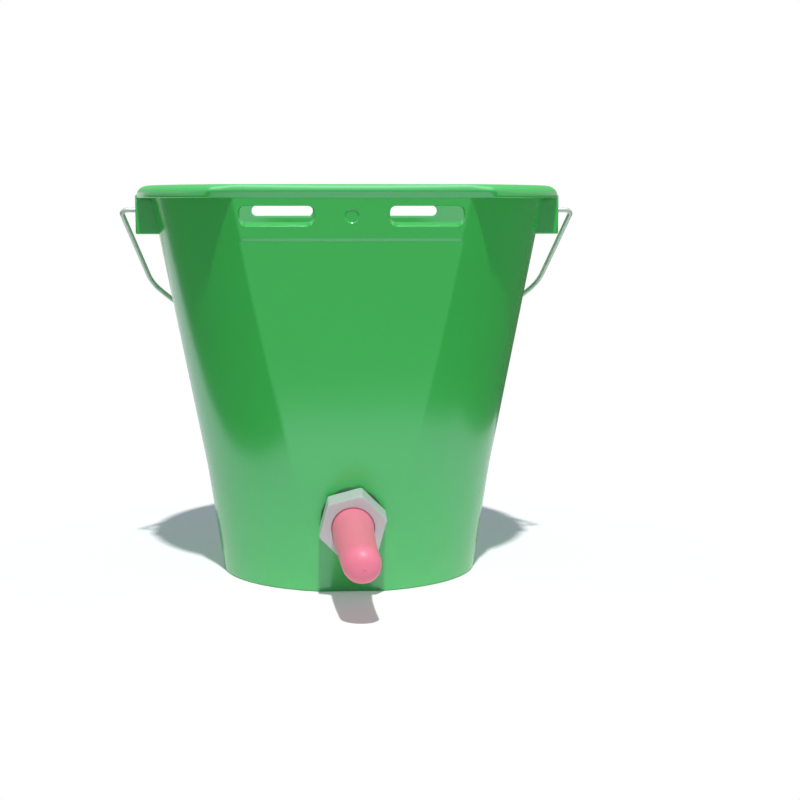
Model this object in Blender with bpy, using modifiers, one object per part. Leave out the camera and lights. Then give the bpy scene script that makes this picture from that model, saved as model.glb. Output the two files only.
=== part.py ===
"""Teat feeding bucket: a moulded pail with a flat front, a wire bail, and a teat on a suction valve.

Metres, +Z up. The origin is the middle of the base, on the floor. The flat front and the teat
face -Y, and the two ears that carry the bail stand at +X and -X.
"""
import math

import bmesh
import bpy
from mathutils import Vector

# Clearances
GAP = 0.0003               # between pieces that touch
WIRE_PLAY = 0.0004         # radial play of the bail in its ears

# Bucket wall and base
HEIGHT = 0.270
BASE_RADIUS = 0.0892       # outer wall, at the floor
BREAK_HEIGHT = 0.0743      # where the wall's slope changes
LOWER_FLARE = 0.0113       # how much wider the wall is there than at the floor
TOP_RADIUS = 0.1383        # outer wall, at full height
WALL = 0.0025
FLOOR = 0.0034
FOOT_CORNER = 0.0030       # rounding under the wall
FOOT_RING_WIDTH = 0.0100
FOOT_HOLLOW = 0.0010       # depth of the ring-shaped hollow under the base
BASE_DISC_RADIUS = 0.0300
INNER_CORNER = 0.0050
ROUND_STEPS = 72

# Rim
LIP_REACH = 0.0083         # how far the rim stands out of the wall
LIP_DEPTH = 0.0087
LIP_SKIN = 0.0022
LIP_TOP = 0.0028
LIP_EDGE = 0.0022
FRONT_REACH = 0.0021       # how far the rim's flat front stands out of the wall's

# Flat front and its raised pad
FLAT_INSET = 0.0025        # how far the flat cuts into the round wall, at the floor
FLAT_LEAN = math.radians(5.71)
PAD_DEPTH = 0.0335         # from the top of the bucket to the pad's lower edge
PAD_RISE = 0.0010
DIMPLE_RADIUS = 0.0045
DIMPLE_DEPTH = 0.0006
DIMPLE_DROP = 0.0202       # below the top of the bucket

# Hanging slots
SLOT_INNER = 0.0244        # from the middle plane to a slot's near end
SLOT_MARGIN = 0.0046       # from a slot's far end to the edge of the flat front
SLOT_DROP = 0.0137         # from the top of the bucket to a slot's upper edge
FRONT_SLOT_HEIGHT = 0.0103
BACK_SLOT_HEIGHT = 0.0080
SLOT_CORNER = 0.0038

# Ears
EAR_HALF_WIDTH = 0.0170
EAR_DEPTH = 0.0333         # from the top of the bucket to an ear's lower edge
EAR_SKIN = 0.0022
EAR_STAND = 0.0004         # how far an ear stands out of the rim

# Bail
WIRE_RADIUS = 0.00175
PIVOT_DROP = 0.0167        # from the top of the bucket to the pivot line
BAIL_STAND = 0.0118        # from an ear's outer face to the axis of the wire's leg
BAIL_REACH = 0.1594        # from the pivot line to the top of the bow
KNEE_REACH = 0.0770        # from the pivot line to the bend between a leg and the bow
LEG_LEAN = math.radians(11.2)
KNEE_BLEND = 0.0086
SHOULDER_RADIUS = 0.0040
HOOK_RADIUS = 0.0032
HOOK_LENGTH = 0.0095
HOOK_INSET = 0.0031        # hook's axis to the outer side of the ear's hollow
BOW_STEP = math.radians(6.0)

# Teat hole and the parts screwed into it, along an axis square to the flat front
HOLE_HEIGHT = 0.0505
HOLE_PLAY = 0.0005
SPIGOT_RADIUS = 0.0160
SPIGOT_BORE = 0.0110
FLANGE_RADIUS = 0.0210
FLANGE_THICKNESS = 0.0040
GASKET_RADIUS = 0.0209
GASKET_THICKNESS = 0.0022
GASKET_EDGE = 0.0006
NUT_FLATS = 0.0398
NUT_LENGTH = 0.0205
NUT_PLATE = 0.0030
NUT_TURN = math.radians(-15.0)
NUT_CHAMFER = 0.0008
TEAT_BASE_RADIUS = 0.0137
TEAT_TIP_RADIUS = 0.0122
TEAT_REACH = 0.0755        # beyond the nut
TEAT_CORNER = 0.0085
TEAT_CROWN = 0.0016        # rise of the end's middle above its corner
TEAT_SKIN = 0.0034
TEAT_FLANGE = 0.0030
TEAT_HOLE = 0.0004
TEAT_BEND = 0.0046         # sideways, at the tip
TEAT_DROOP = 0.0030        # downwards, at the tip
TEAT_STEPS = 32

# Suction valve behind the flange
PORT_RADIUS = 0.0030
PORT_DROP = 0.0024         # below the axis
NECK_RADIUS = 0.0046
TUBE_RADIUS = 0.0055
TUBE_BORE = 0.0040
TUBE_SINK = 0.0006         # how far the tube is sunk into the flange's back
TUBE_TOP = 0.0026
TUBE_BOTTOM = 0.0302
TUBE_CAP = 0.0018
WING_TOP = 0.0107
WING_WIDTH = 0.0050
WING_DEPTH = 0.0040
SEAT_COLLAR = 0.0012
SEAT_STEM = 0.0030
SEAT_HOLE = 0.0020
BALL_RADIUS = 0.0035
BALL_LIFT = 0.0040
STOP_HEIGHT = 0.0018
STOP_WIDTH = 0.0016
SMALL_STEPS = 24

# Stations along the teat's axis, outwards from the wall's outer face
OUTER_GASKET_BACK = GAP
NUT_BACK = OUTER_GASKET_BACK + GASKET_THICKNESS + GAP
NUT_FRONT = NUT_BACK + NUT_LENGTH
TEAT_FLANGE_FRONT = NUT_FRONT - NUT_PLATE - GAP
SPIGOT_FRONT = TEAT_FLANGE_FRONT - TEAT_FLANGE - GAP
TEAT_TIP = NUT_FRONT + TEAT_REACH
INNER_GASKET_BACK = -WALL - GAP - GASKET_THICKNESS
FLANGE_FRONT = INNER_GASKET_BACK - GAP
FLANGE_BACK = FLANGE_FRONT - FLANGE_THICKNESS
TUBE_STATION = FLANGE_BACK + TUBE_SINK - TUBE_RADIUS

# Heights and reaches that follow from the sizes above
BREAK_RADIUS = BASE_RADIUS + LOWER_FLARE
FLAT_DISTANCE = BASE_RADIUS - FLAT_INSET   # from the axis, at the floor
LIP_RADIUS = TOP_RADIUS + LIP_REACH
LIP_BOTTOM = HEIGHT - LIP_DEPTH
LIP_UNDER = HEIGHT - LIP_TOP
PAD_BOTTOM = HEIGHT - PAD_DEPTH
DIMPLE_HEIGHT = HEIGHT - DIMPLE_DROP
SLOT_TOP = HEIGHT - SLOT_DROP
EAR_BOTTOM = HEIGHT - EAR_DEPTH
EAR_OUTSIDE = LIP_RADIUS + EAR_STAND
PIVOT_HEIGHT = HEIGHT - PIVOT_DROP
BAIL_HALF_SPAN = EAR_OUTSIDE + BAIL_STAND

LOWER_SLOPE = (BREAK_RADIUS - BASE_RADIUS) / BREAK_HEIGHT
UPPER_SLOPE = (TOP_RADIUS - BREAK_RADIUS) / (HEIGHT - BREAK_HEIGHT)
FLAT_SLOPE = math.tan(FLAT_LEAN)
OVERLAP = 0.0010           # what is joined or cut runs this far into, or past, its neighbour
FAR = 0.0400               # how far a big cutter runs past the bucket


def wall_radius(z):
    """Outer radius of the round wall at height z."""
    if z < BREAK_HEIGHT:
        return BASE_RADIUS + LOWER_SLOPE * z
    return BREAK_RADIUS + UPPER_SLOPE * (z - BREAK_HEIGHT)


def flat_distance(z):
    """Distance of the flat front from the axis at height z."""
    return FLAT_DISTANCE + FLAT_SLOPE * z


def flat_half_width(z):
    """Half the width of the flat front at height z, where it meets the round wall."""
    return math.sqrt(wall_radius(z) ** 2 - flat_distance(z) ** 2)


def arc(centre, radius, start, end, steps):
    """Points (a, b) on an arc about centre, angles in degrees, both ends included."""
    turns = [math.radians(start + (end - start) * i / steps) for i in range(steps + 1)]
    return [(centre[0] + radius * math.cos(t), centre[1] + radius * math.sin(t)) for t in turns]


def clear_scene():
    """Removes the objects that a new Blender file starts with."""
    for item in list(bpy.data.objects):
        bpy.data.objects.remove(item, do_unlink=True)


def collection(name):
    """Makes a collection in the scene."""
    made = bpy.data.collections.new(name)
    bpy.context.scene.collection.children.link(made)
    return made


def material(name, colour, roughness, metallic=0.0):
    """Makes a Principled material."""
    made = bpy.data.materials.new(name)
    made.use_nodes = True
    shader = made.node_tree.nodes["Principled BSDF"]
    shader.inputs["Base Color"].default_value = (*colour, 1.0)
    shader.inputs["Roughness"].default_value = roughness
    shader.inputs["Metallic"].default_value = metallic
    made.diffuse_color = (*colour, 1.0)
    return made


def add_object(name, mesh, group, parent=None, location=(0, 0, 0), rotation=(0, 0, 0)):
    """Puts a mesh or curve into a collection, under a parent, at a place."""
    made = bpy.data.objects.new(name, mesh)
    group.objects.link(made)
    made.parent = parent
    made.location = location
    made.rotation_euler = rotation
    return made


def as_cutter(item):
    """Marks an object as a construction shape, drawn as wire and not rendered."""
    item.hide_render = True
    item.display_type = "WIRE"
    return item


def smooth(item, sharp_degrees=30):
    """Shades an object smooth, with sharp edges kept sharp."""
    item.data.shade_smooth()
    item.data.set_sharp_from_angle(angle=math.radians(sharp_degrees))


def turned(name, profile, group, steps, closed=False, **place):
    """Turns a profile of (radius, height) points about Z with a Screw modifier.

    The profile runs down the outer side. A closed one is a ring that stays off the axis.
    """
    mesh = bpy.data.meshes.new(name)
    count = len(profile)
    edges = [(i, i + 1) for i in range(count - 1)]
    if closed:
        edges.append((count - 1, 0))
    mesh.from_pydata([(r, 0.0, z) for r, z in profile], edges, [])
    item = add_object(name, mesh, group, **place)
    screw = item.modifiers.new("turn", "SCREW")
    screw.axis = "Z"
    screw.steps = steps
    screw.render_steps = steps
    screw.use_merge_vertices = True
    screw.merge_threshold = 0.00001
    return item


def cylinder(name, radius, low, high, group, steps=SMALL_STEPS, **place):
    """A cylinder about Z from height low to height high."""
    shape = bmesh.new()
    bmesh.ops.create_cone(shape, cap_ends=True, segments=steps, radius1=radius, radius2=radius, depth=high - low)
    bmesh.ops.translate(shape, verts=shape.verts, vec=(0, 0, (low + high) / 2))
    mesh = bpy.data.meshes.new(name)
    shape.to_mesh(mesh)
    shape.free()
    return add_object(name, mesh, group, **place)


def block(name, low, high, group, **place):
    """A box from corner low to corner high."""
    shape = bmesh.new()
    bmesh.ops.create_cube(shape, size=1.0)
    size = [b - a for a, b in zip(low, high)]
    bmesh.ops.scale(shape, verts=shape.verts, vec=size)
    bmesh.ops.translate(shape, verts=shape.verts, vec=[(a + b) / 2 for a, b in zip(low, high)])
    mesh = bpy.data.meshes.new(name)
    shape.to_mesh(mesh)
    shape.free()
    return add_object(name, mesh, group, **place)


def as_mesh(item, group):
    """Replaces an object by the mesh that it evaluates to, welded and in world space."""
    bpy.context.view_layer.update()
    name = item.name
    seen = item.evaluated_get(bpy.context.evaluated_depsgraph_get())
    mesh = bpy.data.meshes.new_from_object(seen)
    place = item.matrix_world.copy()
    bpy.data.objects.remove(item, do_unlink=True)
    shape = bmesh.new()
    shape.from_mesh(mesh)
    bmesh.ops.remove_doubles(shape, verts=shape.verts, dist=0.00001)
    bmesh.ops.recalc_face_normals(shape, faces=shape.faces)
    shape.to_mesh(mesh)
    shape.free()
    made = add_object(name, mesh, group)
    made.matrix_world = place
    return made


def plate(name, outline, thickness, group, location=(0, 0, 0), rotation=(0, 0, 0)):
    """A flat outline in its local XY plane, thickened evenly both ways along its local Z."""
    curve = bpy.data.curves.new(name, "CURVE")
    curve.dimensions = "2D"
    curve.fill_mode = "BOTH"
    curve.extrude = thickness / 2
    spline = curve.splines.new("POLY")
    spline.points.add(len(outline) - 1)
    for point, (a, b) in zip(spline.points, outline):
        point.co = (a, b, 0.0, 1.0)
    spline.use_cyclic_u = True
    return as_mesh(add_object(name, curve, group, location=location, rotation=rotation), group)


def boolean(item, other, operation):
    """Joins, cuts or keeps what an object shares with another, exactly."""
    step = item.modifiers.new(operation.lower() + "_" + other.name, "BOOLEAN")
    step.operation = operation
    step.object = other
    step.solver = "EXACT"


def rounded_rectangle(width, height, radius, steps=4):
    """Outline of a rectangle with round corners, about its middle."""
    a, b = width / 2 - radius, height / 2 - radius
    corners = [((a, b), 0), ((-a, b), 90), ((-a, -b), 180), ((a, -b), 270)]
    return [point for centre, start in corners for point in arc(centre, radius, start, start + 90, steps)]


def outer_profile():
    """The bucket's outside, from the middle of the top, over the rim and down to the middle of the base."""
    skirt = LIP_RADIUS - LIP_SKIN
    foot = BASE_RADIUS - FOOT_CORNER
    ring = foot - FOOT_RING_WIDTH
    points = [(0.0, HEIGHT)]
    points += reversed(arc((LIP_RADIUS - LIP_EDGE, HEIGHT - LIP_EDGE), LIP_EDGE, 0, 90, 4))
    points += [(LIP_RADIUS, LIP_BOTTOM), (skirt, LIP_BOTTOM)]
    points += [(skirt, LIP_UNDER), (wall_radius(LIP_UNDER), LIP_UNDER)]
    points += [(BREAK_RADIUS, BREAK_HEIGHT), (wall_radius(FOOT_CORNER), FOOT_CORNER)]
    points += [(foot + FOOT_CORNER * 0.62, FOOT_CORNER * 0.25), (foot, 0.0), (ring, 0.0)]
    points += [(ring - FOOT_HOLLOW, FOOT_HOLLOW), (BASE_DISC_RADIUS + FOOT_HOLLOW, FOOT_HOLLOW)]
    return points + [(BASE_DISC_RADIUS, 0.0), (0.0, 0.0)]


def inner_profile():
    """The bucket's inside, from above the rim down to the middle of the floor."""
    upper = WALL * math.hypot(1.0, UPPER_SLOPE)
    lower = WALL * math.hypot(1.0, LOWER_SLOPE)
    above = HEIGHT + FAR
    corner_height = FLOOR + INNER_CORNER
    corner_radius = wall_radius(corner_height) - lower
    points = [(0.0, above), (wall_radius(above) - upper, above), (BREAK_RADIUS - upper, BREAK_HEIGHT)]
    points += arc((corner_radius - INNER_CORNER, corner_height), INNER_CORNER, 0, -90, 4)
    return points + [(0.0, FLOOR)]


def front_outline():
    """Side view (y, z) of what is cut away in front of the flat, the pad and the rim's flat front."""
    rim_front = flat_distance(HEIGHT) + FRONT_REACH
    beyond = -LIP_RADIUS - FAR
    return [
        (beyond, -FAR),
        (-flat_distance(-FAR), -FAR),
        (-flat_distance(PAD_BOTTOM - PAD_RISE), PAD_BOTTOM - PAD_RISE),
        (-flat_distance(PAD_BOTTOM) - PAD_RISE, PAD_BOTTOM),
        (-flat_distance(LIP_BOTTOM) - PAD_RISE, LIP_BOTTOM),
        (-rim_front, LIP_UNDER),
        (-rim_front, HEIGHT + FAR),
        (beyond, HEIGHT + FAR),
    ]


def inner_front_outline():
    """Side view (y, z) of what the bucket's hollow leaves standing behind the flat front."""
    skin = WALL * math.hypot(1.0, FLAT_SLOPE)
    beyond = -LIP_RADIUS - FAR
    low, high = -FAR, HEIGHT + 2 * FAR
    return [(beyond, low), (skin - flat_distance(low), low), (skin - flat_distance(high), high), (beyond, high)]


def ear_outline(side):
    """Plan (x, y) of an ear: an outer skin and two sides that run into the wall."""
    outer = EAR_OUTSIDE
    root = wall_radius(EAR_BOTTOM) - WALL
    half = EAR_HALF_WIDTH
    skin = EAR_SKIN
    points = [(root, -half), (outer, -half), (outer, half), (root, half), (root, half - skin)]
    points += [(outer - skin, half - skin), (outer - skin, skin - half), (root, skin - half)]
    return [(side * x, side * y) for x, y in points]


def make_bucket(group, cutters, axis, finish):
    """The moulded shell: wall, base, rim, flat front with its pad, ears, slots and holes."""
    shell = turned("bucket_shell", outer_profile(), group, ROUND_STEPS)
    shell.data.materials.append(finish)

    ear_top = HEIGHT - LIP_TOP / 2
    for side, word in ((1, "right"), (-1, "left")):
        middle = (0, 0, (EAR_BOTTOM + ear_top) / 2)
        ear = as_cutter(plate("ear_" + word, ear_outline(side), ear_top - EAR_BOTTOM, cutters, middle))
        boolean(shell, ear, "UNION")

    # The rim's channel is closed where the flat front cuts across it.
    back = WALL / 2 - flat_distance(LIP_BOTTOM)
    apron = block("apron", (-LIP_RADIUS, -LIP_RADIUS, LIP_BOTTOM), (LIP_RADIUS, back, ear_top), cutters)
    limit = LIP_RADIUS - LIP_SKIN / 2
    inside_lip = cylinder("inside_lip", limit, LIP_BOTTOM - FAR, HEIGHT + FAR, cutters, ROUND_STEPS)
    boolean(apron, as_cutter(inside_lip), "INTERSECT")
    boolean(shell, as_cutter(apron), "UNION")

    lengthways = (math.pi / 2, 0, math.pi / 2)
    width = 2 * (LIP_RADIUS + FAR)
    front = as_cutter(plate("front_cut", front_outline(), width, cutters, rotation=lengthways))
    boolean(shell, front, "DIFFERENCE")

    hollow = as_cutter(turned("hollow", inner_profile(), cutters, ROUND_STEPS))
    inner_front = as_cutter(plate("inner_front", inner_front_outline(), width, cutters, rotation=lengthways))
    boolean(hollow, inner_front, "DIFFERENCE")
    boolean(shell, hollow, "DIFFERENCE")

    upright = (math.pi / 2, 0, 0)
    slot_outer = flat_half_width(SLOT_TOP) - SLOT_MARGIN
    middle = (SLOT_INNER + slot_outer) / 2
    length = slot_outer - SLOT_INNER
    # Behind, the cut runs from inside the curved wall at the slot's far end to outside it at the near end.
    deepest = math.sqrt(wall_radius(SLOT_TOP) ** 2 - slot_outer ** 2) - 4 * WALL
    farthest = wall_radius(SLOT_TOP) + 2 * WALL
    slots = (
        ("front", FRONT_SLOT_HEIGHT, -flat_distance(SLOT_TOP), 8 * WALL),
        ("back", BACK_SLOT_HEIGHT, (deepest + farthest) / 2, farthest - deepest),
    )
    for where, height, y, depth in slots:
        for side, word in ((1, "right"), (-1, "left")):
            place = (side * middle, y, SLOT_TOP - height / 2)
            outline = rounded_rectangle(length, height, SLOT_CORNER)
            slot = as_cutter(plate("slot_%s_%s" % (where, word), outline, depth, cutters, place, upright))
            boolean(shell, slot, "DIFFERENCE")

    hole_radius = SPIGOT_RADIUS + HOLE_PLAY
    hole = as_cutter(cylinder("teat_hole", hole_radius, -4 * WALL, 4 * WALL, cutters, 32, parent=axis))
    boolean(shell, hole, "DIFFERENCE")

    sideways = (0, math.pi / 2, 0)
    for side, word in ((1, "right"), (-1, "left")):
        place = (side * LIP_RADIUS, 0, PIVOT_HEIGHT)
        reach = 2 * EAR_SKIN
        wire_hole = cylinder("wire_hole_" + word, WIRE_RADIUS + WIRE_PLAY, -reach, reach, cutters, 16,
                             location=place, rotation=sideways)
        boolean(shell, as_cutter(wire_hole), "DIFFERENCE")

    face = flat_distance(DIMPLE_HEIGHT) + PAD_RISE
    dimple = cylinder("dimple", DIMPLE_RADIUS, -DIMPLE_DEPTH, FAR, cutters, SMALL_STEPS,
                      location=(0, -face, DIMPLE_HEIGHT), rotation=(math.pi / 2 + FLAT_LEAN, 0, 0))
    boolean(shell, as_cutter(dimple), "DIFFERENCE")
    return shell


def blended_corner(before, corner, after, radius, steps=5):
    """Points of a round corner of the given radius between two straight runs."""
    one = (before - corner).normalized()
    two = (after - corner).normalized()
    half = one.angle(two) / 2
    setback = radius / math.tan(half)
    centre = corner + (one + two).normalized() * (radius / math.sin(half))
    start = (corner + one * setback - centre).normalized()
    end = (corner + two * setback - centre).normalized()
    return [centre + start.slerp(end, i / steps) * radius for i in range(steps + 1)]


def bail_half():
    """Half of the bail in its own plane, from the hook's end to the top of the bow.

    Points are (across, down, 0): across is the distance from the middle plane, and down the distance
    from the pivot line towards the bow.
    """
    hook_across = EAR_OUTSIDE - EAR_SKIN - HOOK_INSET - WIRE_RADIUS
    hook_end = Vector((hook_across, -HOOK_LENGTH, 0))
    hook_corner = Vector((hook_across, 0, 0))
    shoulder = Vector((BAIL_HALF_SPAN, 0, 0))
    knee = Vector((BAIL_HALF_SPAN - math.tan(LEG_LEAN) * KNEE_REACH, KNEE_REACH, 0))
    leg_end = knee + (shoulder - knee).normalized() * KNEE_BLEND

    # The bow is the arc through both knees and the top, so its rise and half width give its radius.
    rise = BAIL_REACH - KNEE_REACH
    bow_radius = (knee.x ** 2 + rise ** 2) / (2 * rise)
    bow_centre = BAIL_REACH - bow_radius
    knee_turn = math.atan2(knee.x, knee.y - bow_centre) - KNEE_BLEND / bow_radius
    count = max(4, round(knee_turn / BOW_STEP))
    turns = [knee_turn * (1 - i / count) for i in range(count + 1)]
    bow = [Vector((bow_radius * math.sin(t), bow_centre + bow_radius * math.cos(t), 0)) for t in turns]
    blend = [leg_end.lerp(knee, t).lerp(knee.lerp(bow[0], t), t) for t in (0.0, 0.25, 0.5, 0.75)]

    points = [hook_end]
    points += blended_corner(hook_end, hook_corner, shoulder, HOOK_RADIUS)
    points += blended_corner(hook_corner, shoulder, leg_end, SHOULDER_RADIUS)
    points += blend + bow
    return points


def bail_lean(side):
    """Angle from straight down at which the bail meets the wall behind (1) or in front (-1).

    The clearance of the bow's points from the wall is measured at an angle, and the angle is halved
    in on until it leaves the gap. In front, the wall is the part that the round wall and the flat share.
    """
    def clearance(lean):
        least = 1.0
        for point in bail_half():
            if point.y < SHOULDER_RADIUS:
                continue
            y = side * point.y * math.sin(lean)
            z = PIVOT_HEIGHT - point.y * math.cos(lean)
            away = (math.hypot(point.x, y) - wall_radius(z)) / math.hypot(1.0, UPPER_SLOPE)
            if side < 0:
                away = max(away, (-y - flat_distance(z)) * math.cos(FLAT_LEAN))
            least = min(least, away - WIRE_RADIUS - GAP)
        return least

    low, high = math.radians(5.0), math.radians(90.0)
    for _ in range(40):
        middle = (low + high) / 2
        if clearance(middle) > 0:
            high = middle
        else:
            low = middle
    return high


def make_bail(group, finish):
    """The wire bail, hooked into both ears, hanging against the wall behind."""
    half = bail_half()
    other = [Vector((-point.x, point.y, 0)) for point in reversed(half[:-1])]
    route = half + other
    curve = bpy.data.curves.new("bail_wire", "CURVE")
    curve.dimensions = "3D"
    curve.bevel_depth = WIRE_RADIUS
    curve.bevel_resolution = 2
    curve.use_fill_caps = True
    spline = curve.splines.new("POLY")
    spline.points.add(len(route) - 1)
    for point, place in zip(spline.points, route):
        point.co = (place.x, place.y, 0.0, 1.0)
    curve.materials.append(finish)

    # The wire's own plane is turned so that its local Y points down and back from the pivot line.
    hang = bail_lean(1)
    bail = add_object("bail_wire", curve, group, location=(0, 0, PIVOT_HEIGHT))
    bail.rotation_euler = (hang - math.pi / 2, 0, 0)
    return bail


def make_gasket(name, back, group, axis, finish):
    """A flat rubber ring with rounded edges, from station back outwards."""
    outer, edge = GASKET_RADIUS, GASKET_EDGE
    inner = SPIGOT_RADIUS + HOLE_PLAY
    front = back + GASKET_THICKNESS
    profile = [(inner, front), (outer - edge, front), (outer, front - edge)]
    profile += [(outer, back + edge), (outer - edge, back), (inner, back)]
    ring = turned(name, profile, group, 40, closed=True, parent=axis)
    ring.data.materials.append(finish)
    smooth(ring)
    return ring


def make_nut(group, cutters, axis, finish):
    """The hexagonal union nut, bored for the spigot, with a front plate that holds the teat."""
    across_corners = NUT_FLATS / math.cos(math.pi / 6)
    bore = SPIGOT_RADIUS + GAP
    mouth = TEAT_BASE_RADIUS + GAP
    nut = cylinder("union_nut", across_corners / 2, NUT_BACK, NUT_FRONT, group, 6, parent=axis,
                   rotation=(0, 0, NUT_TURN))
    nut.data.materials.append(finish)
    limit = across_corners / 2
    rounding = [(0.0, NUT_FRONT + OVERLAP), (limit - NUT_CHAMFER - OVERLAP, NUT_FRONT + OVERLAP)]
    rounding += [(limit + OVERLAP, NUT_FRONT - NUT_CHAMFER / 2 - OVERLAP / 2)]
    rounding += [(limit + OVERLAP, NUT_BACK + NUT_CHAMFER / 2 + OVERLAP / 2)]
    rounding += [(limit - NUT_CHAMFER - OVERLAP, NUT_BACK - OVERLAP), (0.0, NUT_BACK - OVERLAP)]
    boolean(nut, as_cutter(turned("nut_rounding", rounding, cutters, 48, parent=axis)), "INTERSECT")
    inside = NUT_FRONT - NUT_PLATE
    hollow = cylinder("nut_bore", bore, NUT_BACK - OVERLAP, inside, cutters, 40, parent=axis)
    boolean(nut, as_cutter(hollow), "DIFFERENCE")
    opening = cylinder("nut_mouth", mouth, NUT_BACK, NUT_FRONT + OVERLAP, cutters, 40, parent=axis)
    boolean(nut, as_cutter(opening), "DIFFERENCE")
    return nut


def make_teat(group, axis, finish):
    """The hollow rubber teat, turned and then bent a little down and to one side."""
    seat = TEAT_FLANGE_FRONT - TEAT_FLANGE
    crown = TEAT_TIP - TEAT_CROWN
    tip = arc((TEAT_TIP_RADIUS - TEAT_CORNER, crown - TEAT_CORNER), TEAT_CORNER, 90, 0, 6)
    inner_corner = TEAT_CORNER - TEAT_SKIN
    inside = arc((TEAT_TIP_RADIUS - TEAT_CORNER, crown - TEAT_CORNER), inner_corner, 0, 90, 4)
    profile = [(TEAT_HOLE, TEAT_TIP)] + tip
    stations = 4
    for i in range(1, stations):
        share = i / stations
        radius = TEAT_TIP_RADIUS + (TEAT_BASE_RADIUS - TEAT_TIP_RADIUS) * share
        profile.append((radius, tip[-1][1] + (NUT_FRONT - tip[-1][1]) * share))
    profile += [(TEAT_BASE_RADIUS, NUT_FRONT), (TEAT_BASE_RADIUS, TEAT_FLANGE_FRONT)]
    profile += [(SPIGOT_RADIUS - GAP, TEAT_FLANGE_FRONT), (SPIGOT_RADIUS - GAP, seat)]
    profile += [(TEAT_BASE_RADIUS - TEAT_SKIN, seat), (TEAT_BASE_RADIUS - TEAT_SKIN, NUT_FRONT)]
    for i in range(stations - 1, 0, -1):
        share = i / stations
        radius = TEAT_TIP_RADIUS + (TEAT_BASE_RADIUS - TEAT_TIP_RADIUS) * share - TEAT_SKIN
        profile.append((radius, inside[0][1] + (NUT_FRONT - inside[0][1]) * share))
    profile += inside + [(TEAT_HOLE, crown - TEAT_SKIN)]
    teat = turned("teat", profile, group, TEAT_STEPS, closed=True)
    teat = as_mesh(teat, group)
    for vertex in teat.data.vertices:
        along = max(0.0, vertex.co.z - NUT_FRONT) / TEAT_REACH
        vertex.co.x += TEAT_BEND * along ** 2
        vertex.co.y -= TEAT_DROOP * along ** 2
    teat.parent = axis
    teat.data.materials.append(finish)
    smooth(teat, 50)
    return teat


def make_valve_body(group, cutters, axis, finish):
    """The valve's moulding: a spigot through the wall, its flange, and the suction tube behind it."""
    cup = FLANGE_FRONT - FLANGE_THICKNESS / 2
    profile = [(0.0, cup), (SPIGOT_BORE, cup), (SPIGOT_BORE, SPIGOT_FRONT), (SPIGOT_RADIUS, SPIGOT_FRONT)]
    profile += [(SPIGOT_RADIUS, FLANGE_FRONT), (FLANGE_RADIUS, FLANGE_FRONT)]
    profile += [(FLANGE_RADIUS, FLANGE_BACK), (0.0, FLANGE_BACK)]
    body = turned("valve_body", profile, group, 40, parent=axis)
    body.data.materials.append(finish)

    down = (math.pi / 2, 0, 0)
    port = (0, -PORT_DROP, 0)
    tube_place = (0, 0, TUBE_STATION)
    wing_back = FLANGE_BACK - WING_DEPTH
    joined = [
        cylinder("valve_neck", NECK_RADIUS, TUBE_STATION, cup, cutters, parent=axis, location=port),
        cylinder("valve_tube", TUBE_RADIUS, -TUBE_TOP, TUBE_BOTTOM, cutters, parent=axis,
                 location=tube_place, rotation=down),
        block("valve_wing", (-WING_WIDTH / 2, 0, wing_back), (WING_WIDTH / 2, WING_TOP, cup), cutters,
              parent=axis),
    ]
    cut = [
        cylinder("valve_port", PORT_RADIUS, TUBE_STATION, cup + OVERLAP, cutters, parent=axis, location=port),
        cylinder("valve_bore", TUBE_BORE, TUBE_CAP - TUBE_TOP, TUBE_BOTTOM + OVERLAP, cutters, parent=axis,
                 location=tube_place, rotation=down),
    ]
    stop = seat_face() - ball_rise() - BALL_RADIUS - BALL_LIFT - GAP
    across = TUBE_BORE + OVERLAP / 2
    bar = block("valve_stop", (-across, -stop, TUBE_STATION - STOP_WIDTH / 2),
                (across, STOP_HEIGHT - stop, TUBE_STATION + STOP_WIDTH / 2), cutters, parent=axis)
    for item in joined:
        boolean(body, as_cutter(item), "UNION")
    for item in cut:
        boolean(body, as_cutter(item), "DIFFERENCE")
    boolean(body, as_cutter(bar), "UNION")
    return body


def seat_face():
    """How far below the axis the seat's upper face lies."""
    return TUBE_BOTTOM + GAP - SEAT_STEM


def ball_rise():
    """How far the closed ball's middle lies above the seat's face, so that it clears the hole's edge."""
    return math.sqrt((BALL_RADIUS + GAP) ** 2 - SEAT_HOLE ** 2)


def make_seat(group, axis, finish):
    """The plug in the tube's lower end, with the hole that the ball closes."""
    collar = TUBE_BOTTOM + GAP + SEAT_COLLAR
    stem = TUBE_BORE - GAP
    profile = [(SEAT_HOLE, -seat_face()), (stem, -seat_face()), (stem, -TUBE_BOTTOM - GAP)]
    profile += [(TUBE_RADIUS, -TUBE_BOTTOM - GAP), (TUBE_RADIUS, -collar), (SEAT_HOLE, -collar)]
    seat = turned("valve_seat", profile, group, SMALL_STEPS, closed=True, parent=axis,
                  location=(0, 0, TUBE_STATION), rotation=(-math.pi / 2, 0, 0))
    seat.data.materials.append(finish)
    smooth(seat)
    return seat


def make_ball(group, axis, finish):
    """The loose ball that rests on the seat."""
    shape = bmesh.new()
    bmesh.ops.create_uvsphere(shape, u_segments=16, v_segments=10, radius=BALL_RADIUS)
    mesh = bpy.data.meshes.new("check_ball")
    shape.to_mesh(mesh)
    shape.free()
    ball = add_object("check_ball", mesh, group, parent=axis,
                      location=(0, ball_rise() - seat_face(), TUBE_STATION))
    ball.data.materials.append(finish)
    smooth(ball)
    return ball


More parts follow.
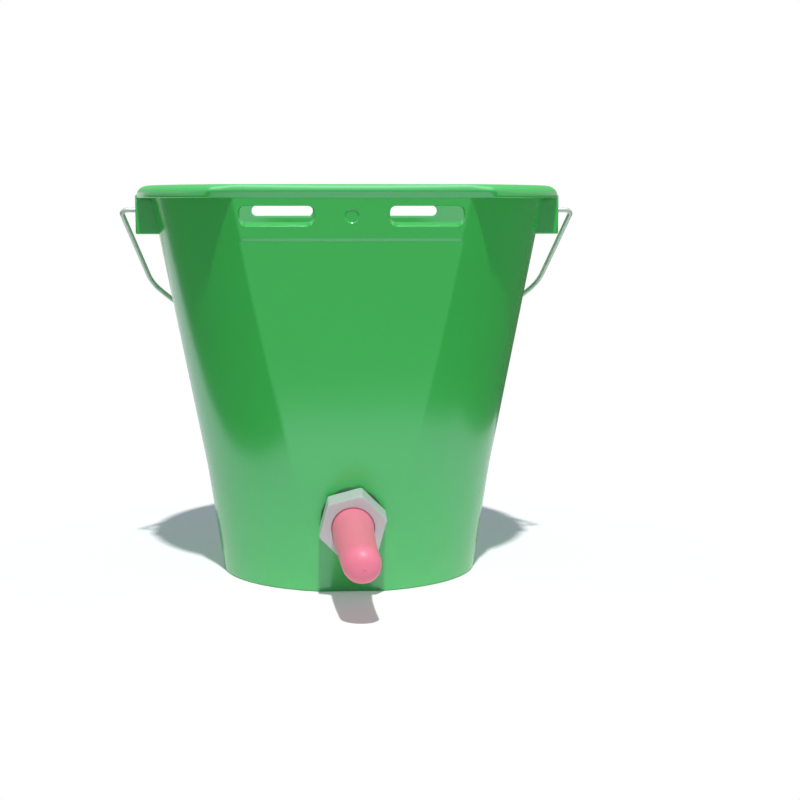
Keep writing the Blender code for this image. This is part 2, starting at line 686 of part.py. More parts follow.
def main():
    clear_scene()
    parts = collection("teat_feeding_bucket")
    cutters = collection("cutters")

    green = material("bucket_green", (0.045, 0.48, 0.10), 0.22)
    steel = material("galvanised_wire", (0.62, 0.64, 0.62), 0.35, 1.0)
    pink = material("teat_rubber", (0.82, 0.23, 0.30), 0.45)
    pale = material("nut_plastic", (0.60, 0.62, 0.60), 0.40)
    red = material("gasket_rubber", (0.42, 0.06, 0.08), 0.60)
    grey = material("valve_plastic", (0.17, 0.18, 0.19), 0.45)
    white = material("ball_plastic", (0.80, 0.80, 0.78), 0.30)

    axis = bpy.data.objects.new("teat_axis", None)
    parts.objects.link(axis)
    axis.location = (0, -flat_distance(HOLE_HEIGHT), HOLE_HEIGHT)
    axis.rotation_euler = (math.pi / 2 + FLAT_LEAN, 0, 0)

    make_bucket(parts, cutters, axis, green)
    make_bail(parts, steel)
    make_gasket("outer_gasket", OUTER_GASKET_BACK, parts, axis, red)
    make_gasket("inner_gasket", INNER_GASKET_BACK, parts, axis, red)
    make_nut(parts, cutters, axis, pale)
    make_teat(parts, axis, pink)
    make_valve_body(parts, cutters, axis, grey)
    make_seat(parts, axis, grey)
    make_ball(parts, axis, white)

    swing = 360 - math.degrees(bail_lean(1) + bail_lean(-1))
    lift = axis.rotation_euler.to_matrix() @ Vector((0, 1, 0))
    print("bail hangs %.2f degrees from straight down and swings %.2f degrees about +X at %s"
          % (math.degrees(bail_lean(1)), swing, (0, 0, round(PIVOT_HEIGHT, 4))))
    print("ball lifts %.4f m along %s" % (BALL_LIFT, tuple(round(v, 5) for v in lift)))


main()
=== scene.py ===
# %% [markdown]
# A teat feeding bucket: a moulded green pail with a flat front, a wire bail, and a pink rubber teat
# on a suction valve. The construction model is loaded first and stays as it is. It says where every
# piece lies, and this file gives each piece its fine surface and its finish. All lengths are metres,
# +Z is up, and the flat front with the teat faces -Y.

# %% The frame
import math

import bmesh
import bpy
import numpy as np
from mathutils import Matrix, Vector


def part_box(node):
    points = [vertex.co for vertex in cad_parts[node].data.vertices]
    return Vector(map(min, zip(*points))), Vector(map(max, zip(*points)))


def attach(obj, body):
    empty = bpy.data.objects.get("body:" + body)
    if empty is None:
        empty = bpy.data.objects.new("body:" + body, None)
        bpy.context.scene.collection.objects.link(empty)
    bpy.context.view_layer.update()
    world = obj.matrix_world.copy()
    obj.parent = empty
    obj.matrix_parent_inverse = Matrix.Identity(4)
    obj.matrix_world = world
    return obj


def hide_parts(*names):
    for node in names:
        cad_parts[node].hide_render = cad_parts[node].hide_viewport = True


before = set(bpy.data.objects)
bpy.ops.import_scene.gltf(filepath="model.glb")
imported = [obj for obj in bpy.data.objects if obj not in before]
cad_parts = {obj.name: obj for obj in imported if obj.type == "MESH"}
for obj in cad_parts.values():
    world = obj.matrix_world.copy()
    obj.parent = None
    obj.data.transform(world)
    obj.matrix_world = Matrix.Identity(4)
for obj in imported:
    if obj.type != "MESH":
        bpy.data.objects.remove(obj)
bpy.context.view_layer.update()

# %% [markdown]
# Every surface below is a grid of points worked out by numpy: rows run along a profile, columns run
# round it. A grid could be made by hand in edit mode with Spin and Loop Cut, but then a change of one
# radius would mean doing it again. Here the grid is a formula, and three small helpers turn it into a
# mesh: one numbers the four corners of each cell, one writes the mesh, and one welds and orients it.

# %% Cells of a grid
def grid_cells(index, wrap_rows=False, wrap_columns=True):
    """Corner numbers of every cell of a grid.

    index holds the number of each grid point, rows by columns. A wrapped direction also joins its
    last line to its first.
    """
    rows = np.vstack([index, index[:1]]) if wrap_rows else index
    full = np.hstack([rows, rows[:, :1]]) if wrap_columns else rows
    corners = (full[:-1, :-1], full[:-1, 1:], full[1:, 1:], full[1:, :-1])
    return np.stack([c.ravel() for c in corners], axis=1)


# %% From arrays to an object
def new_piece(name, points, cells, weld=2e-6, smooth_angle=40):
    """A mesh object from an array of points and an array of four-cornered cells.

    Points closer than weld are joined, which closes poles and seams, and the normals are turned
    outwards. Edges that bend more than smooth_angle degrees stay sharp.
    """
    used, flat = np.unique(cells, return_inverse=True)
    mesh = bpy.data.meshes.new(name)
    mesh.vertices.add(len(used))
    mesh.vertices.foreach_set("co", points[used].astype(np.float32).ravel())
    mesh.loops.add(cells.size)
    mesh.loops.foreach_set("vertex_index", flat.ravel().astype(np.int32))
    mesh.polygons.add(len(cells))
    mesh.polygons.foreach_set("loop_start", np.arange(0, cells.size, 4, dtype=np.int32))
    mesh.update(calc_edges=True)

    shape = bmesh.new()
    shape.from_mesh(mesh)
    bmesh.ops.remove_doubles(shape, verts=shape.verts, dist=weld)
    bmesh.ops.dissolve_degenerate(shape, edges=shape.edges, dist=weld)
    bmesh.ops.recalc_face_normals(shape, faces=shape.faces)
    open_edges = sum(1 for edge in shape.edges if not edge.is_manifold)
    shape.to_mesh(mesh)
    shape.free()
    mesh.shade_smooth()
    mesh.set_sharp_from_angle(angle=math.radians(smooth_angle))
    piece = bpy.data.objects.new(name, mesh)
    bpy.context.scene.collection.objects.link(piece)
    counts = (name, len(mesh.vertices), len(mesh.polygons), open_edges)
    print("%s: %d points, %d faces, %d open edges" % counts)
    return piece


# %% Dressing a piece
def dress(piece, body, slot, finish, *nodes):
    """Gives a piece its finish and the body that it moves with, and hides the construction nodes it stands
    for.
    """
    piece.data.materials.append(finish)
    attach(piece, body)
    if nodes:
        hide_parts(*nodes)
    return piece


# %% Small profile helpers
def ramp(value, low, high):
    """0 below low, 1 above high, and a smooth S between: t * t * (3 - 2 t)."""
    t = np.clip((value - low) / (high - low), 0.0, 1.0)
    return t * t * (3.0 - 2.0 * t)


def soft_least(a, b, reach):
    """The smaller of two values, with the kink rounded off where they differ by less than reach."""
    near = np.maximum(reach - np.abs(a - b), 0.0) / reach
    return np.minimum(a, b) - near * near * reach / 4.0


def quarter(radius, start, end, count):
    """Cosine and sine of an arc in degrees, times radius, as two arrays."""
    turns = np.radians(np.linspace(start, end, count))
    return radius * np.cos(turns), radius * np.sin(turns)


# %% [markdown]
# Finishes come next, because each piece is dressed as soon as it is made. What several plastics share
# is a shader node group: a tiny moulded grain, fine rub marks, and a pale tone low down, which on the
# bucket is partly real dust and partly a painted reflection of the bright floor. A group has named
# sockets, is built once, and sits in each material with that material's own numbers. It reads Object
# coordinates, so that nothing swims when a piece moves. The alternative, one long node tree per
# material, would repeat the same twenty nodes five times.

# %% Node helpers
def add_node(tree, kind, settings=None, **values):
    """A shader node with its properties set from settings and its input sockets from values.

    A value is a number, a colour, or an output socket to link from. An underscore stands for a space.
    """
    made = tree.nodes.new(kind)
    for key, value in (settings or {}).items():
        setattr(made, key, value)
    for key, value in values.items():
        name = key.replace("_", " ")
        socket = made.inputs[int(name[1:])] if name[0] == "i" and name[1:].isdigit() else made.inputs[name]
        if isinstance(value, bpy.types.NodeSocket):
            tree.links.new(value, socket)
        else:
            socket.default_value = value
    return made


# %% Node groups
def new_group(name, inputs, outputs):
    """An empty shader node group with float inputs (name: default) and named outputs."""
    tree = bpy.data.node_groups.new(name, "ShaderNodeTree")
    for label, default in inputs.items():
        made = tree.interface.new_socket(label, in_out="INPUT", socket_type="NodeSocketFloat")
        made.default_value = default
    for label, kind in outputs.items():
        tree.interface.new_socket(label, in_out="OUTPUT", socket_type=kind)
    return tree, tree.nodes.new("NodeGroupInput").outputs, tree.nodes.new("NodeGroupOutput").inputs


# %% Math node
def math_node(tree, operation, first, second=0.0, clamp=False):
    """The output of a Math node."""
    made = tree.nodes.new("ShaderNodeMath")
    made.operation = operation
    made.use_clamp = clamp
    for socket, value in zip(made.inputs, (first, second)):
        if isinstance(value, bpy.types.NodeSocket):
            tree.links.new(value, socket)
        else:
            socket.default_value = value
    return made.outputs[0]


# %% Moulded grain
def moulded_grain_group():
    """Grain of a moulded surface: a fine height and a slow drift of tone, both about 0.5."""
    tree, given, result = new_group(
        "moulded_grain",
        {"Grain Scale": 900.0, "Drift Scale": 9.0},
        {"Height": "NodeSocketFloat", "Drift": "NodeSocketFloat"},
    )
    place = tree.nodes.new("ShaderNodeTexCoord").outputs["Object"]
    fine = add_node(tree, "ShaderNodeTexNoise", Vector=place, Scale=given["Grain Scale"], Detail=3.0)
    slow = add_node(tree, "ShaderNodeTexNoise", Vector=place, Scale=given["Drift Scale"], Detail=4.0)
    tree.links.new(fine.outputs[0], result["Height"])
    tree.links.new(slow.outputs[0], result["Drift"])
    return tree


MOULDED_GRAIN = moulded_grain_group()


# %% Rub marks
def rub_marks_group():
    """Short hair-fine marks: noise stretched along one direction and kept only near its crest."""
    tree, given, result = new_group(
        "rub_marks",
        {"Mark Scale": 60.0, "Stretch": 14.0, "Amount": 0.5},
        {"Marks": "NodeSocketFloat"},
    )
    place = tree.nodes.new("ShaderNodeTexCoord").outputs["Object"]
    stretched = add_node(tree, "ShaderNodeCombineXYZ", X=1.0, Y=1.0, Z=given["Stretch"])
    squeezed = add_node(tree, "ShaderNodeVectorMath", {"operation": "MULTIPLY"},
                        i0=place, i1=stretched.outputs[0])
    lines = add_node(tree, "ShaderNodeTexNoise", Vector=squeezed.outputs[0], Scale=given["Mark Scale"],
                     Detail=6.0, Roughness=0.7)
    where = add_node(tree, "ShaderNodeTexNoise", Vector=place, Scale=22.0, Detail=2.0)
    crest = add_node(tree, "ShaderNodeMapRange", Value=lines.outputs[0], From_Min=0.60, From_Max=0.70)
    zone = add_node(tree, "ShaderNodeMapRange", Value=where.outputs[0], From_Min=0.48, From_Max=0.66)
    both = math_node(tree, "MULTIPLY", crest.outputs[0], zone.outputs[0])
    amount = math_node(tree, "MULTIPLY", both, given["Amount"], clamp=True)
    tree.links.new(amount, result["Marks"])
    return tree


RUB_MARKS = rub_marks_group()


# %% Dust and painted sheen low down
def dust_and_sheen_group():
    """Pale dust and painted floor sheen: more of it low down, broken up by noise, from 0 to Amount."""
    tree, given, result = new_group(
        "dust_and_painted_sheen",
        {"Reach": 0.05, "Amount": 0.2},
        {"Dust And Sheen": "NodeSocketFloat"},
    )
    place = tree.nodes.new("ShaderNodeTexCoord").outputs["Object"]
    height = add_node(tree, "ShaderNodeSeparateXYZ", Vector=place).outputs["Z"]
    low = add_node(tree, "ShaderNodeMapRange", Value=height, From_Min=given["Reach"], From_Max=0.0)
    cloud = add_node(tree, "ShaderNodeTexNoise", Vector=place, Scale=34.0, Detail=5.0)
    broken = add_node(tree, "ShaderNodeMapRange", Value=cloud.outputs[0], From_Min=0.35, From_Max=0.75)
    both = math_node(tree, "MULTIPLY", low.outputs[0], broken.outputs[0])
    amount = math_node(tree, "MULTIPLY", both, given["Amount"], clamp=True)
    tree.links.new(amount, result["Dust And Sheen"])
    return tree


DUST_AND_SHEEN = dust_and_sheen_group()


# %% A material from a tone, a second tone and the shared groups
# Pale tone low down: partly real dust, partly a painted reflection of the bright floor.
DUST_AND_SHEEN_TONE = (0.62, 0.60, 0.54)
MARK_ROUGHNESS = 0.35


def placed_group(tree, group, **values):
    """A group node with its inputs set, in a material's tree."""
    made = tree.nodes.new("ShaderNodeGroup")
    made.node_tree = group
    for key, value in values.items():
        made.inputs[key.replace("_", " ")].default_value = value
    return made.outputs


def blend_colours(tree, factor, first, second):
    """The output of a colour Mix node; a colour is an (r, g, b) triple or a socket."""
    made = tree.nodes.new("ShaderNodeMix")
    made.data_type = "RGBA"
    for socket, value in ((made.inputs["Factor"], factor), (made.inputs[6], first), (made.inputs[7], second)):
        if isinstance(value, bpy.types.NodeSocket):
            tree.links.new(value, socket)
        elif isinstance(value, tuple):
            socket.default_value = (*value, 1.0)
        else:
            socket.default_value = value
    return made.outputs[2]


# %% One plastic or rubber finish
def surface_finish(name, tone, other_tone, rough, rough_spread, grain_depth, grain_scale=900.0,
                   drift_scale=9.0, marks=0.3, mark_tone=(0.6, 0.6, 0.6), pale_dust_and_sheen=0.0, sockets=None):
    """A Principled material whose colour drifts between two tones, with grain, rub marks and dust mixed with
    painted sheen.

    grain_depth is the height of the grain in metres, and sockets are plain values for the shader.
    """
    made = bpy.data.materials.new(name)
    made.use_nodes = True
    tree = made.node_tree
    shader = tree.nodes["Principled BSDF"]
    for key, value in (sockets or {}).items():
        shader.inputs[key].default_value = value
    grain = placed_group(tree, MOULDED_GRAIN, Grain_Scale=grain_scale, Drift_Scale=drift_scale)
    rubbed = placed_group(tree, RUB_MARKS, Amount=marks)
    colour = blend_colours(tree, grain["Drift"], tone, other_tone)
    colour = blend_colours(tree, rubbed["Marks"], colour, mark_tone)
    # Paler low down: partly dust, partly painted sheen standing in for the floor's reflection.
    if pale_dust_and_sheen > 0.0:
        dust_and_sheen_out = placed_group(tree, DUST_AND_SHEEN, Amount=pale_dust_and_sheen)
        colour = blend_colours(tree, dust_and_sheen_out["Dust And Sheen"], colour, DUST_AND_SHEEN_TONE)
    tree.links.new(colour, shader.inputs["Base Color"])
    drifted = math_node(tree, "MULTIPLY", grain["Drift"], rough_spread)
    marked = math_node(tree, "MULTIPLY", rubbed["Marks"], MARK_ROUGHNESS)
    both = math_node(tree, "ADD", drifted, marked)
    roughness = math_node(tree, "ADD", both, rough - rough_spread / 2)
    tree.links.new(roughness, shader.inputs["Roughness"])
    bump = add_node(tree, "ShaderNodeBump", Height=grain["Height"], Strength=1.0, Distance=grain_depth)
    tree.links.new(bump.outputs[0], shader.inputs["Normal"])
    return made


# %% [markdown]
# The green is a glossy polypropylene. Its tone drifts very slightly, as a real moulding's does where
# the melt met, and its grain is a hundredth of a millimetre deep. The nut and the valve are satin
# plastics, the teat and the gaskets are rubber, and the bail is drawn wire with a zinc coat. Every
# plastic and rubber is one call: its two tones, its roughness and the depth of its grain.

# %% Finish of the bucket
BUCKET_GREEN = surface_finish(
    "bucket_plastic", (0.026, 0.500, 0.056), (0.032, 0.545, 0.068),
    # Pale low down: partly dust, partly a painted reflection of the bright floor.
    rough=0.19, rough_spread=0.04, grain_depth=0.00001, marks=0.08, mark_tone=(0.16, 0.60, 0.22), pale_dust_and_sheen=0.04,
    # Painted reflection: the bluish Specular Tint colours every reflection as if it showed a bluish floor.
    sockets={"Specular IOR Level": 1.0, "IOR": 1.72, "Specular Tint": (0.74, 0.84, 1.0, 1.0)},
)

# %% [markdown]
# The rim is what hands rub on, so it is duller than the wall. A second material on the rim's faces
# would show a line where it starts. Here the green itself gets rougher with height, over the last few
# millimetres: a Map Range node on the height turns into roughness, and the larger of the two holds.

# %% Duller towards the top
def dull_above(material, low, high, rough):
    """Dulls a material towards the top: from one height to the next the roughness climbs to rough."""
    tree = material.node_tree
    shader = next(node for node in tree.nodes if node.type == "BSDF_PRINCIPLED")
    before = shader.inputs["Roughness"].links[0].from_socket
    place = tree.nodes.new("ShaderNodeTexCoord").outputs["Object"]
    height = add_node(tree, "ShaderNodeSeparateXYZ", Vector=place).outputs["Z"]
    dull = add_node(tree, "ShaderNodeMapRange", {"interpolation_type": "SMOOTHSTEP"}, Value=height,
                    From_Min=low, From_Max=high, To_Min=0.0, To_Max=rough).outputs[0]
    tree.links.new(math_node(tree, "MAXIMUM", before, dull), shader.inputs["Roughness"])


# %% [markdown]
# The other plastics and rubbers differ in tone, gloss and grain alone, so the same function makes them.
# Rubber is rough and finely grained, the nut and valve are satin, and the ball is nearly smooth.

# %% Finishes of the screwed-in pieces
TEAT_PINK = surface_finish(
    "teat_rubber", (0.90, 0.205, 0.300), (0.93, 0.240, 0.340),
    rough=0.42, rough_spread=0.10, grain_depth=0.00003,
    grain_scale=1400.0, drift_scale=40.0, marks=0.12, mark_tone=(0.90, 0.45, 0.48),
    sockets={"Specular IOR Level": 0.45},
)
NUT_PALE = surface_finish(
    "nut_plastic", (0.51, 0.53, 0.52), (0.58, 0.60, 0.59),
    rough=0.34, rough_spread=0.10, grain_depth=0.00002,
    drift_scale=30.0, marks=0.20, mark_tone=(0.76, 0.77, 0.74),
)
GASKET_RED = surface_finish(
    "gasket_rubber", (0.30, 0.045, 0.060), (0.36, 0.06, 0.08),
    rough=0.58, rough_spread=0.10, grain_depth=0.00003,
    grain_scale=1800.0, drift_scale=60.0, marks=0.15, mark_tone=(0.45, 0.20, 0.22),
)
# Painted shade: the outer gasket is red rubber too, drawn near-black green for the shadowed gap behind the
# nut.
GASKET_PAINTED_SHADE = surface_finish(
    "gasket_rubber_painted_shade", (0.020, 0.055, 0.030), (0.030, 0.070, 0.040),
    rough=0.55, rough_spread=0.10, grain_depth=0.00003,
    grain_scale=1800.0, drift_scale=60.0, marks=0.15, mark_tone=(0.10, 0.12, 0.10),
)
VALVE_GREY = surface_finish(
    "valve_plastic", (0.145, 0.155, 0.162), (0.19, 0.20, 0.205),
    rough=0.42, rough_spread=0.12, grain_depth=0.00002,
    drift_scale=30.0, marks=0.30, mark_tone=(0.33, 0.34, 0.35),
)
BALL_WHITE = surface_finish(
    "ball_plastic", (0.76, 0.76, 0.73), (0.82, 0.82, 0.79),
    rough=0.30, rough_spread=0.08, grain_depth=0.00001,
    grain_scale=2500.0, drift_scale=90.0, marks=0.10, mark_tone=(0.60, 0.60, 0.58),
)

# %% [markdown]
# Zinc on drawn wire is half metal, half dull coat. A plain metal would turn black wherever it reflects
# something dark, so the metallic value stays under a half, and streaks and spots break up the tone.
# Its greys are tinted green: a painted reflection of the green bucket beside it.

# %% Zinc-coated wire
WIRE_METALLIC = 0.40
WIRE_ROUGH = 0.25
WIRE_ROUGH_SPREAD = 0.25
WIRE_GRAIN_DEPTH = 0.00004


def wire_finish():
    """Half-metal between two greys tinted green by painted reflection, darker in drawn marks and rougher
    where its tone drifts.
    """
    made = bpy.data.materials.new("zinc_wire")
    made.use_nodes = True
    tree = made.node_tree
    shader = tree.nodes["Principled BSDF"]
    shader.inputs["Metallic"].default_value = WIRE_METALLIC
    grain = placed_group(tree, MOULDED_GRAIN, Grain_Scale=1500.0, Drift_Scale=140.0)
    rubbed = placed_group(tree, RUB_MARKS, Mark_Scale=160.0, Stretch=3.0, Amount=0.8)
    # Painted reflection: both greys are tinted green, as the wire looks when it reflects the green bucket.
    colour = blend_colours(tree, grain["Drift"], (0.56, 0.66, 0.58), (0.70, 0.79, 0.72))
    colour = blend_colours(tree, rubbed["Marks"], colour, (0.34, 0.36, 0.33))
    tree.links.new(colour, shader.inputs["Base Color"])
    drifted = math_node(tree, "MULTIPLY", grain["Drift"], WIRE_ROUGH_SPREAD)
    tree.links.new(math_node(tree, "ADD", drifted, WIRE_ROUGH), shader.inputs["Roughness"])
    bump = add_node(tree, "ShaderNodeBump", Height=grain["Height"], Strength=1.0, Distance=WIRE_GRAIN_DEPTH)
    tree.links.new(bump.outputs[0], shader.inputs["Normal"])
    return made


WIRE_ZINC = wire_finish()
FINISHES = (BUCKET_GREEN, TEAT_PINK, NUT_PALE, GASKET_RED, GASKET_PAINTED_SHADE, VALVE_GREY, BALL_WHITE, WIRE_ZINC)
print("finishes:", [finish.name for finish in FINISHES])

# %% [markdown]
# The bucket is one moulding. Its wall is a cone that flares more from the bend up, cut flat in front by
# a plane that leans outwards, and its rim turns over into a skirt. The shape is worked out in polar
# form: for each height there is a round radius and a distance to the flat, and the wall is the smaller
# of the two, with the kink rounded. A Boolean cut would give the same outline, but its edge would be
# knife-sharp and its faces ragged. Here the crease is a line of the grid, so it shades cleanly.

# %% Bucket sizes
HEIGHT = 0.270
BASE_RADIUS = 0.0892
BREAK_RADIUS = 0.1005
BREAK_HEIGHT = 0.0743
TOP_RADIUS = 0.1383
WALL = 0.0025
FLOOR = 0.0034
FOOT_CORNER = 0.0014
FOOT_RING_WIDTH = 0.0100
FOOT_HOLLOW = 0.0010
BASE_DISC_RADIUS = 0.0300
INNER_CORNER = 0.0050
LIP_RADIUS = TOP_RADIUS + 0.0083
LIP_BOTTOM = HEIGHT - 0.0087
LIP_UNDER = HEIGHT - 0.0028
LIP_SKIN = 0.0022
LIP_EDGE = 0.0066
FRONT_EDGE = 0.0042
EDGE_GROWS = math.radians(30.0)
LIP_ROUND = 0.0082
LIP_ROUGHNESS = 0.58
INNER_EDGE = 0.0010
FLAT_DISTANCE = 0.0867
FLAT_LEAN = math.radians(5.71)
PAD_BOTTOM = HEIGHT - 0.0335
PAD_RISE = 0.0007
PAD_STEP = 0.0034
FRONT_REACH = 0.0021
CREASE = 0.0008
BREAK_EASE = 0.0020

LOWER_SLOPE = (BREAK_RADIUS - BASE_RADIUS) / BREAK_HEIGHT
UPPER_SLOPE = (TOP_RADIUS - BREAK_RADIUS) / (HEIGHT - BREAK_HEIGHT)
FLAT_SLOPE = math.tan(FLAT_LEAN)
RIM_FRONT = FLAT_DISTANCE + FLAT_SLOPE * HEIGHT + FRONT_REACH
UPPER_SKIN = WALL * math.hypot(1.0, UPPER_SLOPE)
FLAT_SKIN = WALL * math.hypot(1.0, FLAT_SLOPE)
dull_above(BUCKET_GREEN, HEIGHT - LIP_EDGE, HEIGHT - FRONT_EDGE + 0.0010, LIP_ROUGHNESS)
print("bucket: %.1f mm high, %.1f mm across its rim" % (1000 * HEIGHT, 2000 * LIP_RADIUS))


# %% Radius of the round wall and distance of the flat front
def round_radius(z):
    """Lower slope up to the break, upper slope above it, with the bend eased by half a hyperbola."""
    past = z - BREAK_HEIGHT
    eased = 0.5 * (past + np.sqrt(past * past + BREAK_EASE ** 2))
    return BASE_RADIUS + LOWER_SLOPE * z + (UPPER_SLOPE - LOWER_SLOPE) * eased


def plane_distance(z):
    """Distance of the leaning flat from the axis: a straight line in z."""
    return FLAT_DISTANCE + FLAT_SLOPE * z


def front_distance(z):
    """The flat, with the pad's step added, drawn forward to the rim's upright front at the top."""
    pad = plane_distance(z) + PAD_RISE * ramp(z, PAD_BOTTOM - PAD_STEP, PAD_BOTTOM)
    share = ramp(z, LIP_BOTTOM - 0.001, LIP_UNDER + 0.0005)
    return pad + (RIM_FRONT - pad) * share


def crease_angle(radius, distance):
    """Angle from the front at which the flat meets the round wall: its cosine is distance / radius."""
    return np.arccos(np.clip(distance / radius, -1.0, 1.0))


def wall_reach(radius, distance, angles, softness=CREASE):
    """Distance from the axis along each angle: the softened smaller of the round wall and the flat.

    The flat's own distance there is divided by the angle's cosine, which is kept above 0.05 behind.
    """
    return soft_least(radius, distance / np.maximum(np.cos(angles), 0.05), softness)


# %% [markdown]
# Columns of the grid: those of the flat are spaced in x and those of the round part by angle. Near the
# two creases, and where the slots behind come through, they are closer together. Because the crease
# widens from the base up, each row stretches the same columns over its own angles.

# %% Columns of the bucket
RIM_CREASE = float(crease_angle(round_radius(LIP_BOTTOM), front_distance(LIP_BOTTOM)))
ROUND_SPAN = math.pi - RIM_CREASE
CREASE_STEP = 0.0132
CREASE_SHARES = np.array([0.0, 0.25, 0.55, 0.9, 1.35, 2.0, 3.0]) * CREASE_STEP
FLAT_COLUMNS = np.concatenate([
    CREASE_SHARES - 1,
    np.linspace(-0.94, 0.94, 108),
    1 - CREASE_SHARES[::-1],
])
SLOTS_FROM = math.radians(7.5) / ROUND_SPAN
SLOTS_TO = math.radians(35.0) / ROUND_SPAN
HALF_COLUMNS = np.concatenate([
    np.linspace(SLOTS_FROM, SLOTS_TO, 44)[:-1],
    np.linspace(SLOTS_TO, 0.940, 74),
    1 - np.linspace(0.052, 0.0035, 18),
])
BACK_COLUMNS = np.linspace(-SLOTS_FROM, SLOTS_FROM, 12)[1:-1]
ROUND_COLUMNS = np.concatenate([-HALF_COLUMNS[::-1], BACK_COLUMNS, HALF_COLUMNS])
COLUMNS = len(FLAT_COLUMNS) + len(ROUND_COLUMNS)
print("columns:", COLUMNS, "of which on the flat:", len(FLAT_COLUMNS))


def column_angles(crease):
    """Angle from the front of every column, for rows whose crease lies at the given angles.

    On the flat, x runs evenly between the creases, so the angle is the arctangent of the share times
    the tangent of the crease angle. On the round part, the angle itself runs evenly.
    """
    crease = np.atleast_1d(crease)[:, None]
    flat = np.arctan(FLAT_COLUMNS[None, :] * np.tan(crease))
    around = math.pi + ROUND_COLUMNS[None, :] * (math.pi - crease)
    return np.hstack([flat, around])


def polar_rows(heights, radii, angles):
    """Points from height, radius and angle from the front, each rows by columns."""
    radii, angles = np.broadcast_arrays(radii, angles)
    return np.stack([radii * np.sin(angles), -radii * np.cos(angles),
                     np.broadcast_to(heights, radii.shape)], axis=2)


# %% [markdown]
# Rows of the grid run from the middle of the underside, up the outside, over the rim, down the inside
# and to the middle of the floor. Each group of rows gives a height and a radius for every column.

# %% Rows of both walls
SLOT_ROWS = np.linspace(0.2388, 0.2598, 21)
HOLE_ROWS = np.linspace(0.0290, 0.0720, 19)
OUTER_HEIGHTS = np.concatenate([
    np.linspace(0.0030, 0.0270, 5),
    HOLE_ROWS,
    np.linspace(0.0732, 0.0800, 7),
    np.linspace(0.088, 0.2300, 13),
    np.linspace(PAD_BOTTOM - PAD_STEP - 0.0002, PAD_BOTTOM + 0.0002, 9),
    SLOT_ROWS,
])
INNER_HEIGHTS = np.concatenate([
    np.linspace(FLOOR + INNER_CORNER, 0.0270, 4),
    HOLE_ROWS,
    np.linspace(0.0732, 0.0800, 4),
    np.linspace(0.095, 0.2300, 8),
    SLOT_ROWS,
    [0.2640, HEIGHT - INNER_EDGE],
])


def outer_wall():
    """Rows of the outside, from the foot's corner up to just under the rim."""
    z = OUTER_HEIGHTS[:, None]
    radius, distance = round_radius(z), front_distance(z)
    angles = column_angles(crease_angle(radius, distance)[:, 0])
    return polar_rows(z, wall_reach(radius, distance, angles), angles)


def inner_wall():
    """Rows of the inside, from under the rim's inner edge down to the floor's corner."""
    z = INNER_HEIGHTS[::-1, None]
    radius, distance = round_radius(z) - UPPER_SKIN, plane_distance(z) - FLAT_SKIN
    angles = column_angles(crease_angle(radius, distance)[:, 0])
    return polar_rows(z, wall_reach(radius, distance, angles, 3 * CREASE), angles)


OUTER_WALL = outer_wall()
INNER_WALL = inner_wall()
print("rows of the walls:", len(OUTER_WALL), "outside,", len(INNER_WALL), "inside")

# %% [markdown]
# The rim's skirt hides a channel. In front the channel closes, because there the rim and the flat are
# one face. So the same rows do two jobs: round the back they trace channel, skirt and top, and in
# front they are spread evenly up the flat face. Between the two, a ramp mixes one into the other.

# %% Where the rim changes
RIM_ANGLES = column_angles(RIM_CREASE)[0]
FROM_FRONT = np.abs((RIM_ANGLES + math.pi) % (2 * math.pi) - math.pi)
SKIRT_TURN = math.radians(0.9)
CHANNEL_STARTS = math.radians(36.8)
CHANNEL_OPEN = math.radians(38.8)
SKIRT_SHARE = ramp(FROM_FRONT, RIM_CREASE - SKIRT_TURN, RIM_CREASE)
CHANNEL_SHARE = ramp(FROM_FRONT, CHANNEL_STARTS, CHANNEL_OPEN)
print("the rim's crease lies %.1f degrees from the front" % math.degrees(RIM_CREASE))


# %% Section of the rim
def rim_section():
    """Radius and height of the rim's outside, and how many rows belong to the channel that closes."""
    fillet = 0.0009
    skirt = LIP_RADIUS - LIP_SKIN
    middle = LIP_RADIUS - LIP_SKIN / 2
    edge_r, edge_z = quarter(LIP_SKIN / 2, 180, 360, 9)
    wall_z = np.linspace(LIP_BOTTOM, LIP_UNDER - fillet, 4)
    ceiling_r = np.linspace(round_radius(LIP_UNDER) + fillet, skirt - fillet, 4)
    drop_z = np.linspace(LIP_UNDER - fillet, LIP_BOTTOM + LIP_SKIN / 2, 3)
    face_z = np.linspace(LIP_BOTTOM + LIP_SKIN / 2, HEIGHT - FRONT_EDGE, 5)[1:]
    radii = np.concatenate([round_radius(wall_z), ceiling_r, np.full(3, skirt), middle + edge_r[1:],
                            np.full(len(face_z), LIP_RADIUS)])
    heights = np.concatenate([wall_z, np.full(4, LIP_UNDER), drop_z,
                              LIP_BOTTOM + LIP_SKIN / 2 + edge_z[1:], face_z])
    closing = len(wall_z) + 4 + 3 + 4
    return radii, heights, closing


